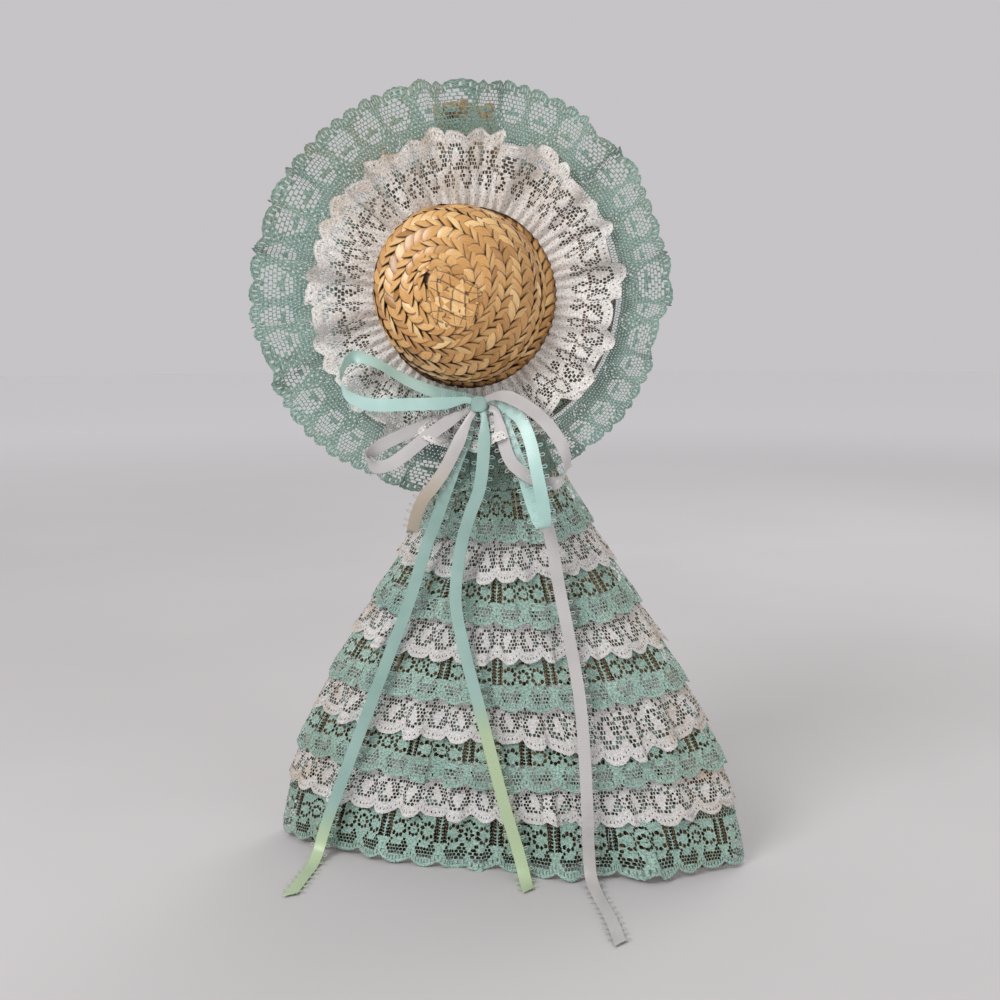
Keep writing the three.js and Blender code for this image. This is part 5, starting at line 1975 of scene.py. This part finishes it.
MINT_TAIL_CENTRE = (
    (-2.1, -33.4, 184, 0), (-1.8, -36, 171.5, 0), (-3.5, -36.2, 157.3, 0), (-8.1, -33.2, 145.9, 0),
    (-12.5, -27.5, 133.3, 0), (-15.3, -26.1, 111.4, 0), (-11.7, -27, 91.6, 0), (-6, -27.7, 69.7, 0),
    (-0.4, -28.3, 47.6, 0), (4.9, -28.8, 27.4, 0), (10, -29.6, 11, -15), (12.6, -32, 3, -55),
    (14.2, -36, 0.7, -90), (15.8, -41, 0.7, -90),
)
WHITE_TAIL_RIGHT = (
    (-0.7, -30.4, 184.1, 0), (4.3, -32.4, 177.6, 0), (10.4, -34.8, 170.5, 0), (16.1, -34.8, 160.9, 0),
    (19.7, -31.5, 149.3, 0), (22.3, -26.7, 137.6, 0), (25.7, -24.6, 116.4, 0), (29.7, -25.2, 96.8, 0),
    (33.9, -25.7, 73.1, 0), (36, -26.4, 49.1, 0), (37.2, -27.2, 28.7, 0), (38, -28.2, 11, -15),
    (39.4, -32, 3, -55), (43.2, -42, 0.7, -90), (49, -58, 0.7, -90), (54.4, -77, 0.7, -90),
)


@dataclass
class Bow:
    """Double bow below the crown: a knot, four loops and four tails."""

    knot_size: Triple = (6.6, 5.6, 7.0)

    def ribbons(self) -> List[Ribbon]:
        """Lists the ribbons of the bow."""
        mint = (MINT_SATIN, Slot.MINT_SATIN)
        # The tails take the darker copy of the mint satin, painted shade.
        shaded_satin = (SHADED_MINT_SATIN, Slot.MINT_SATIN)
        white = (WHITE_SATIN, Slot.WHITE_SATIN)
        loop, tail = FarEnd.KNOT, FarEnd.BARE
        level = Axis.LEVEL
        return [
            Ribbon("mint_loop_left", MINT_LOOP_LEFT, Axis.DOWN, *mint, loop),
            Ribbon("white_loop_left", WHITE_LOOP_LEFT, Axis.DOWN, *white, loop),
            Ribbon("white_loop_right", WHITE_LOOP_RIGHT, Axis.UP, *white, loop),
            Ribbon("mint_loop_right", MINT_LOOP_RIGHT, level, *mint, loop),
            Ribbon("white_tail_left", WHITE_TAIL_LEFT, level, *white, tail, fade_from=172.0),
            Ribbon("mint_tail_left", MINT_TAIL_LEFT, level, *shaded_satin, tail, fade_from=26.0),
            Ribbon("mint_tail_centre", MINT_TAIL_CENTRE, level, *shaded_satin, tail, fade_from=76.0),
            Ribbon("white_tail_right", WHITE_TAIL_RIGHT, level, *white, tail),
        ]

    def build_knot(self) -> None:
        """Models the knot: a block with a waist, wrapped by one turn of ribbon."""
        low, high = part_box("bow_knot")
        centre = 0.5 * (low + high)
        deselect()
        bpy.ops.mesh.primitive_cube_add(size=1.0, location=centre)
        knot = bpy.context.object
        knot.name = "ribbon_knot"
        knot.scale = tuple(side * MM for side in self.knot_size)
        bpy.ops.object.transform_apply(location=True, rotation=True, scale=True)
        bpy.ops.object.mode_set(mode="EDIT")
        bpy.ops.mesh.select_all(action="SELECT")
        bpy.ops.mesh.subdivide(number_cuts=5)
        bpy.ops.mesh.select_all(action="DESELECT")
        bpy.ops.object.mode_set(mode="OBJECT")
        reach = Vector(self.knot_size) * (0.5 * MM)
        for vertex in knot.data.vertices:
            local = [(vertex.co[axis] - centre[axis]) / reach[axis] for axis in range(3)]
            round_off = 1.0 - 0.17 * (local[0] ** 2 * local[2] ** 2) - 0.12 * local[0] ** 2 * local[1] ** 2
            waist = 1.0 - 0.13 * (1.0 - local[0] ** 2) * local[2] ** 2
            crease = 0.9 + 0.1 * abs(math.sin(7.5 * local[0] + 1.2 * local[2]))
            vertex.co.x = centre.x + local[0] * reach.x * round_off
            vertex.co.y = centre.y + local[1] * reach.y * round_off * crease
            vertex.co.z = centre.z + local[2] * reach.z * round_off * waist
        soft = knot.modifiers.new("soft", "SUBSURF")
        soft.levels = 2
        pick(knot)
        bpy.ops.object.modifier_apply(modifier=soft.name)
        bpy.ops.object.shade_smooth()
        fill_layer(knot, "fade", 0.0)
        knot.data.uv_layers[0].name = "flat"
        # The knot takes the darker copy of the mint satin, painted shade.
        dress(knot, Slot.MINT_SATIN, SHADED_MINT_SATIN.material(), "bow_knot")

    def build(self) -> None:
        """Builds the ribbons and the knot."""
        for ribbon in self.ribbons():
            ribbon.build()
        self.build_knot()


@dataclass
class Studio:
    """Pale floor, soft lamps and the camera at the photograph's angle. Floor and lamps are in metres."""

    distance: float = 500.0
    azimuth: float = 10.0
    height: float = 216.87
    pitch: float = 7.849
    roll: float = 0.25
    focal_pixels: float = 1239.8
    image_width: float = 1000.0
    shift_right: float = -1.97
    backdrop: Colour = (0.565, 0.55, 0.565)
    even_light: float = 0.58
    floor_radius: float = 6.0
    floor_z: float = -0.0002
    aim: Triple = (0.0, 0.0, 0.16)
    lamps: Sequence[Tuple[str, Triple, float, float]] = (
        ("key", (-0.55, -0.95, 0.95), 0.55, 9.5),
        ("fill", (0.9, -0.8, 0.45), 0.8, 2.0),
        ("rim", (0.35, 0.8, 0.9), 0.6, 3.0),
    )

    def add_camera(self) -> None:
        """Places the camera."""
        turn, tilt, roll = (math.radians(angle) for angle in (self.azimuth, self.pitch, self.roll))
        right = Vector((math.cos(turn), math.sin(turn), 0.0))
        ahead = Vector((-math.sin(turn) * math.cos(tilt), math.cos(turn) * math.cos(tilt), -math.sin(tilt)))
        up = right.cross(ahead)
        place = Vector((self.distance * math.sin(turn), -self.distance * math.cos(turn), self.height))
        place += right * self.shift_right
        rolled_right = right * math.cos(roll) - up * math.sin(roll)
        rolled_up = up * math.cos(roll) + right * math.sin(roll)
        lens = bpy.data.cameras.new("camera")
        lens.sensor_width = 36.0
        lens.lens = self.focal_pixels * lens.sensor_width / self.image_width
        lens.clip_start = 0.01
        camera = bpy.data.objects.new("camera", lens)
        bpy.context.scene.collection.objects.link(camera)
        axes = Matrix((rolled_right, rolled_up, -ahead)).transposed().to_4x4()
        camera.matrix_world = Matrix.Translation(place * MM) @ axes
        bpy.context.scene.camera = camera

    def add_lamp(self, name: str, place: Triple, size: float, power: float) -> None:
        """Adds a square soft lamp that points at the doll.

        Args:
            name: Name of the lamp.
            place: Where it is, in metres.
            size: Its side, in metres.
            power: Its power, in watts.
        """
        light = bpy.data.lights.new(name, "AREA")
        light.size = size
        light.energy = power
        lamp = bpy.data.objects.new(name, light)
        bpy.context.scene.collection.objects.link(lamp)
        lamp.location = place
        lamp.rotation_mode = "QUATERNION"
        lamp.rotation_quaternion = (Vector(self.aim) - Vector(place)).to_track_quat("-Z", "Y")

    def add_world(self) -> None:
        """Lights the scene evenly, and shows the camera a plain pale backdrop."""
        world = bpy.data.worlds.new("studio")
        bpy.context.scene.world = world
        world.use_nodes = True
        tree = world.node_tree
        tree.nodes.clear()
        add, link = tree.nodes.new, tree.links.new
        path = add("ShaderNodeLightPath")
        seen = add("ShaderNodeMath")
        seen.operation = "MAXIMUM"
        link(path.outputs["Is Camera Ray"], seen.inputs[0])
        link(path.outputs["Is Transmission Ray"], seen.inputs[1])
        even = add("ShaderNodeBackground")
        even.inputs["Color"].default_value = (1.0, 0.99, 0.98, 1.0)
        even.inputs["Strength"].default_value = self.even_light
        shown = add("ShaderNodeBackground")
        shown.inputs["Color"].default_value = (*self.backdrop, 1.0)
        mix = add("ShaderNodeMixShader")
        output = add("ShaderNodeOutputWorld")
        link(seen.outputs["Value"], mix.inputs["Fac"])
        link(even.outputs["Background"], mix.inputs[1])
        link(shown.outputs["Background"], mix.inputs[2])
        link(mix.outputs["Shader"], output.inputs["Surface"])

    def add_floor(self) -> None:
        """Lays the floor just under the broom."""
        deselect()
        bpy.ops.mesh.primitive_circle_add(
            vertices=96, radius=self.floor_radius, fill_type="NGON", location=(0.0, 0.0, self.floor_z)
        )
        floor = bpy.context.object
        floor.name = "floor"
        bpy.ops.object.transform_apply(location=True, rotation=True, scale=True)
        floor.data.materials.append(FLOOR.material())

    def build(self) -> None:
        """Sets up the studio."""
        bpy.context.scene.view_settings.view_transform = "Standard"
        self.add_camera()
        self.add_world()
        self.add_floor()
        for lamp in self.lamps:
            self.add_lamp(*lamp)


def main() -> None:
    """Builds the doll in order."""
    logging.basicConfig(level=logging.INFO, format="%(message)s")
    Studio().build()
    Bow().build()
    Broom().build()
    StrawHat().build()
    HatRuffles().build()
    Skirt().build()


if __name__ == "__main__":
    main()
